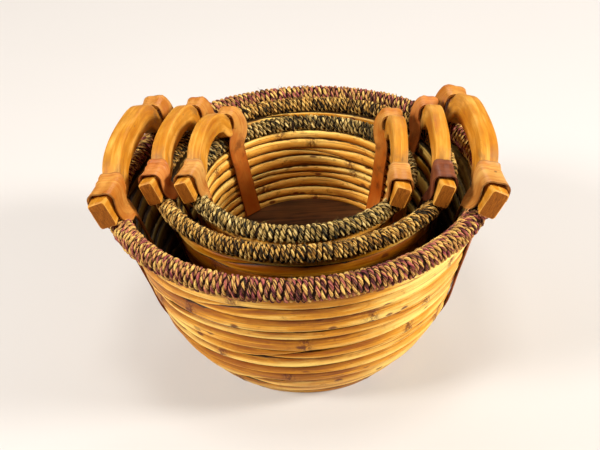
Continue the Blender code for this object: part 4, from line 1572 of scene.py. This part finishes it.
LARGE = Sizes(
    name="large", centre=(0.0, 0.0, 0.0), rim_radius=LARGE_RIM, rim_height=0.205, rim_thickness=0.024,
    wall_foot_share=0.5455, wall_inset_share=0.354, flare_share=0.65, cane_depth=0.013,
    course_shares=(0.09, 0.115, 0.10, 0.085, 0.06, 0.07, 0.07, 0.09, 0.05, 0.10, 0.08, 0.09),
    hoop_steps=24, floor_thickness=0.008, handle_span_share=0.612, handle_height=0.065,
    handle_depth=0.020, handle_width=0.027, strap_span_share=0.445, strap_width=0.022,
    strap_thickness=0.0028, leg_stand_off=0.004, outer_leg_share=0.34, outer_leg_drift=9.0,
    far_foot_trim=0.008, handles=(Handle(Side.RIGHT, 2.0, 16.0), Handle(Side.LEFT, 169.5, 8.0)),
    rope_turns=222, seed=11,
)
MEDIUM = Sizes(
    name="medium", centre=(0.006, 0.005, 0.0083), rim_radius=LARGE_RIM - MEDIUM_STEP,
    rim_height=0.2035, rim_thickness=0.019, wall_foot_share=0.49, wall_inset_share=0.395,
    flare_share=0.65, cane_depth=0.011,
    course_shares=(0.09, 0.12, 0.10, 0.08, 0.11, 0.07, 0.10, 0.09, 0.11, 0.07, 0.06), hoop_steps=20,
    floor_thickness=0.007, handle_span_share=0.632, handle_height=0.056, handle_depth=0.016,
    handle_width=0.024, strap_span_share=0.4645, strap_width=0.018, strap_thickness=0.0024,
    leg_stand_off=0.004, outer_leg_share=0.55, outer_leg_drift=5.0, far_foot_trim=0.003,
    handles=(Handle(Side.RIGHT, -2.0, 8.0), Handle(Side.LEFT, 166.0, 8.0)), rope_turns=198, seed=23,
)
SMALL = Sizes(
    name="small", centre=(0.003, 0.0, 0.1135), rim_radius=LARGE_RIM - MEDIUM_STEP - SMALL_STEP,
    rim_height=0.0975, rim_thickness=0.019, wall_foot_share=0.841, wall_inset_share=0.279,
    flare_share=0.5, cane_depth=0.009,
    course_shares=(0.09, 0.12, 0.115, 0.095, 0.105, 0.13, 0.13, 0.125, 0.09),
    hoop_steps=20, floor_thickness=0.007, handle_span_share=0.763, handle_height=0.056,
    handle_depth=0.016, handle_width=0.022, strap_span_share=0.529, strap_width=0.016,
    strap_thickness=0.0024, leg_stand_off=0.002, outer_leg_share=0.55, outer_leg_drift=5.0,
    far_foot_trim=0.007, handles=(Handle(Side.RIGHT, -2.5, 8.0), Handle(Side.LEFT, 163.5, 8.0)),
    rope_turns=128, seed=37,
)

DARK_BROWN = (44, 24, 14)
LARGE_ROPES = (
    RopeFinish(((0.08, (54, 28, 22)), (0.26, (132, 66, 56)), (0.46, (194, 142, 70)),
                (0.80, (236, 192, 106))), DARK_BROWN),
    RopeFinish(((0.12, (46, 24, 24)), (0.34, (124, 54, 60)), (0.56, (184, 94, 88)),
                (0.84, (212, 160, 84))), DARK_BROWN),
)
MEDIUM_ROPES = (
    RopeFinish(((0.12, (36, 26, 14)), (0.30, (122, 80, 28)), (0.54, (200, 146, 62)),
                (0.84, (236, 198, 116))), (28, 17, 8)),
    RopeFinish(((0.20, (18, 16, 12)), (0.40, (62, 54, 38)), (0.60, (184, 124, 50)),
                (0.84, (224, 178, 94))), (22, 15, 8)),
)
SMALL_ROPES = (
    RopeFinish(((0.14, (36, 31, 18)), (0.32, (116, 94, 48)), (0.56, (196, 160, 86)),
                (0.84, (238, 208, 136))), (28, 21, 12)),
    RopeFinish(((0.24, (18, 18, 14)), (0.44, (58, 54, 38)), (0.64, (160, 122, 60)),
                (0.86, (218, 182, 108))), (22, 18, 11)),
)
PURPLE_PEEL = PeelFinish(tan=(130, 72, 42), brown=(88, 42, 24), red=(74, 30, 16))
RED_PEEL = PeelFinish(tan=(194, 124, 58), brown=(150, 74, 28))
PALE_PEEL = PeelFinish(tan=(202, 149, 76), brown=(180, 120, 52))


@dataclass(frozen=True)
class Lamp:
    """One square soft light."""

    name: str
    place: tuple[float, float, float]
    size: float
    power: float
    colour: Colour


LAMPS = (
    Lamp("right_softbox", (2.75, -0.8, 1.7), 0.65, 150.0, (255, 251, 245)),
    Lamp("left_softbox", (-2.3, -1.1, 2.0), 0.7, 100.0, (255, 252, 248)),
    Lamp("top_softbox", (0.0, -0.4, 2.6), 0.6, 26.0, (255, 252, 246)),
    Lamp("back_softbox", (0.2, 2.0, 1.6), 0.9, 14.0, (255, 252, 248)),
)


@dataclass
class Studio:
    """The pale floor, the lamps and the photograph's camera."""

    aim: tuple[float, float, float] = (-0.0025, 0.0, 0.1448)
    distance: float = 1.167
    elevation: float = 33.8
    roll: float = -3.9
    lens: float = 62.9
    sky: Colour = (255, 250, 244)
    world_strength: float = 0.05
    backdrop: float = 0.72             # how bright the backdrop looks, without lighting anything
    floor_reach: float = 6.0
    floor_cells: int = 24
    floor_drop: float = 0.0002         # how far under the nest the paper lies

    def floor(self) -> None:
        """Lay the floor: a wide sheet of paper just under the nest."""
        cells, across = self.floor_cells, self.floor_cells + 1
        side = np.linspace(-self.floor_reach, self.floor_reach, across)
        x, y = np.meshgrid(side, side, indexing="ij")
        points = np.stack([x, y, np.full_like(x, -self.floor_drop)], -1).reshape(-1, 3)
        first = np.add.outer(np.arange(cells) * across, np.arange(cells)).reshape(-1, 1)
        faces = first + [0, across, across + 1, 1]
        mesh = bpy.data.meshes.new("paper")
        mesh.from_pydata(points.tolist(), [], faces.tolist())
        mesh.materials.append(StageFinish().material("paper"))
        paper = bpy.data.objects.new("paper", mesh)
        bpy.context.scene.collection.objects.link(paper)

    def light(self, lamp: Lamp) -> None:
        """Hang one lamp so that it faces the nest.

        Args:
            lamp: what it is and where it hangs.
        """
        light = bpy.data.lights.new(lamp.name, "AREA")
        light.shape = "SQUARE"
        light.size = lamp.size
        light.energy = lamp.power
        light.color = linear(lamp.colour)[:3]
        item = bpy.data.objects.new(lamp.name, light)
        facing = (Vector(self.aim) - Vector(lamp.place)).to_track_quat("-Z", "Y")
        item.matrix_world = Matrix.Translation(lamp.place) @ facing.to_matrix().to_4x4()
        bpy.context.scene.collection.objects.link(item)

    def camera(self) -> None:
        """Stand the camera where the photograph was taken from, rolled about its line of sight."""
        rise, roll = math.radians(self.elevation), math.radians(self.roll)
        back = Vector((0.0, -math.cos(rise), math.sin(rise)))
        up = Vector((0.0, math.sin(rise), math.cos(rise)))
        right = Vector((1.0, 0.0, 0.0))
        right_rolled = right * math.cos(roll) + up * math.sin(roll)
        up_rolled = up * math.cos(roll) - right * math.sin(roll)
        data = bpy.data.cameras.new("camera")
        data.sensor_width = 36.0
        data.lens = self.lens
        data.clip_start = 0.01
        item = bpy.data.objects.new("camera", data)
        turn = Matrix((right_rolled, up_rolled, back)).transposed().to_4x4()
        item.matrix_world = Matrix.Translation(Vector(self.aim) + back * self.distance) @ turn
        bpy.context.scene.collection.objects.link(item)
        bpy.context.scene.camera = item

    def sky_light(self) -> bpy.types.World:
        """Return the world: a faint even light that looks like a pale backdrop to the camera.

        Returns:
            The world, with its nodes linked.
        """
        world = bpy.data.worlds.new("studio")
        world.use_nodes = True
        nodes, links = world.node_tree.nodes, world.node_tree.links
        background = nodes["Background"]
        background.inputs["Color"].default_value = linear(self.sky)
        rays = nodes.new("ShaderNodeLightPath")
        seen = nodes.new("ShaderNodeMath")
        seen.operation = "MULTIPLY_ADD"
        seen.inputs[1].default_value = self.backdrop - self.world_strength
        seen.inputs[2].default_value = self.world_strength
        links.new(rays.outputs["Is Camera Ray"], seen.inputs[0])
        links.new(seen.outputs[0], background.inputs["Strength"])
        return world

    def build(self) -> None:
        """Make the floor, the lights and the camera."""
        scene = bpy.context.scene
        scene.world = self.sky_light()
        scene.view_settings.view_transform = "Standard"
        self.floor()
        for lamp in LAMPS:
            self.light(lamp)
        self.camera()


SPLICE = ((91.4, 152.0, -90.0, 0.009, 0.0014, 0.0), (93.0, 146.0, -90.0, 0.012, 0.0020, 1.0),
          (91.0, 176.0, 180.0, 0.013, 0.0006, 0.0), (90.2, 112.0, 60.0, 0.006, 0.0012, 1.0))
LARGE_SCARFS = (212.0, 95.0, 228.0, 60.0, 205.0, 130.0, 243.0, 78.0, 196.0, 110.0, 222.0, 150.0)
MEDIUM_SCARFS = (250.0, 60.0, 110.0, 200.0, 75.0, 130.0, 90.0, 235.0, 100.0, 218.0, 70.0)
SMALL_SCARFS = (280.0, 262.0, 250.0, 290.0, 270.0, 255.0, 60.0, 285.0, 265.0)
MEDIUM_CANE = CaneFinish(golden=(206, 134, 22), deep=(150, 78, 4), inner_shade=0.15)
SMALL_CANE = CaneFinish(golden=(244, 178, 70), deep=(194, 118, 30), joint=(60, 28, 6),
                        joint_from=0.95, mottling=0.7, inner_shade=0.0)


def main() -> None:
    """Build the stage and the three baskets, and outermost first."""
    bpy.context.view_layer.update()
    Studio().build()
    Basket(LARGE, CaneFinish(side_light_and_pale_fibres=1.0, inner_shade=0.8), LARGE_SCARFS, 3.6, LARGE_ROPES, 0.0150,
           {"right_near": PALE_PEEL}, {"left_near": 0.0009}).build()
    Basket(MEDIUM, MEDIUM_CANE, MEDIUM_SCARFS, 3.0, MEDIUM_ROPES, 0.0120,
           {"right_near": PURPLE_PEEL, "left_near": RED_PEEL, "right_far": RED_PEEL},
           {"left_near": 0.001}, SMALL).build()
    Basket(SMALL, SMALL_CANE, SMALL_SCARFS, 2.8, SMALL_ROPES, 0.0115,
           {"left_near": PALE_PEEL, "right_near": PALE_PEEL}, leg_width=0.022, tufts=SPLICE).build()


if __name__ == "__main__":
    main()
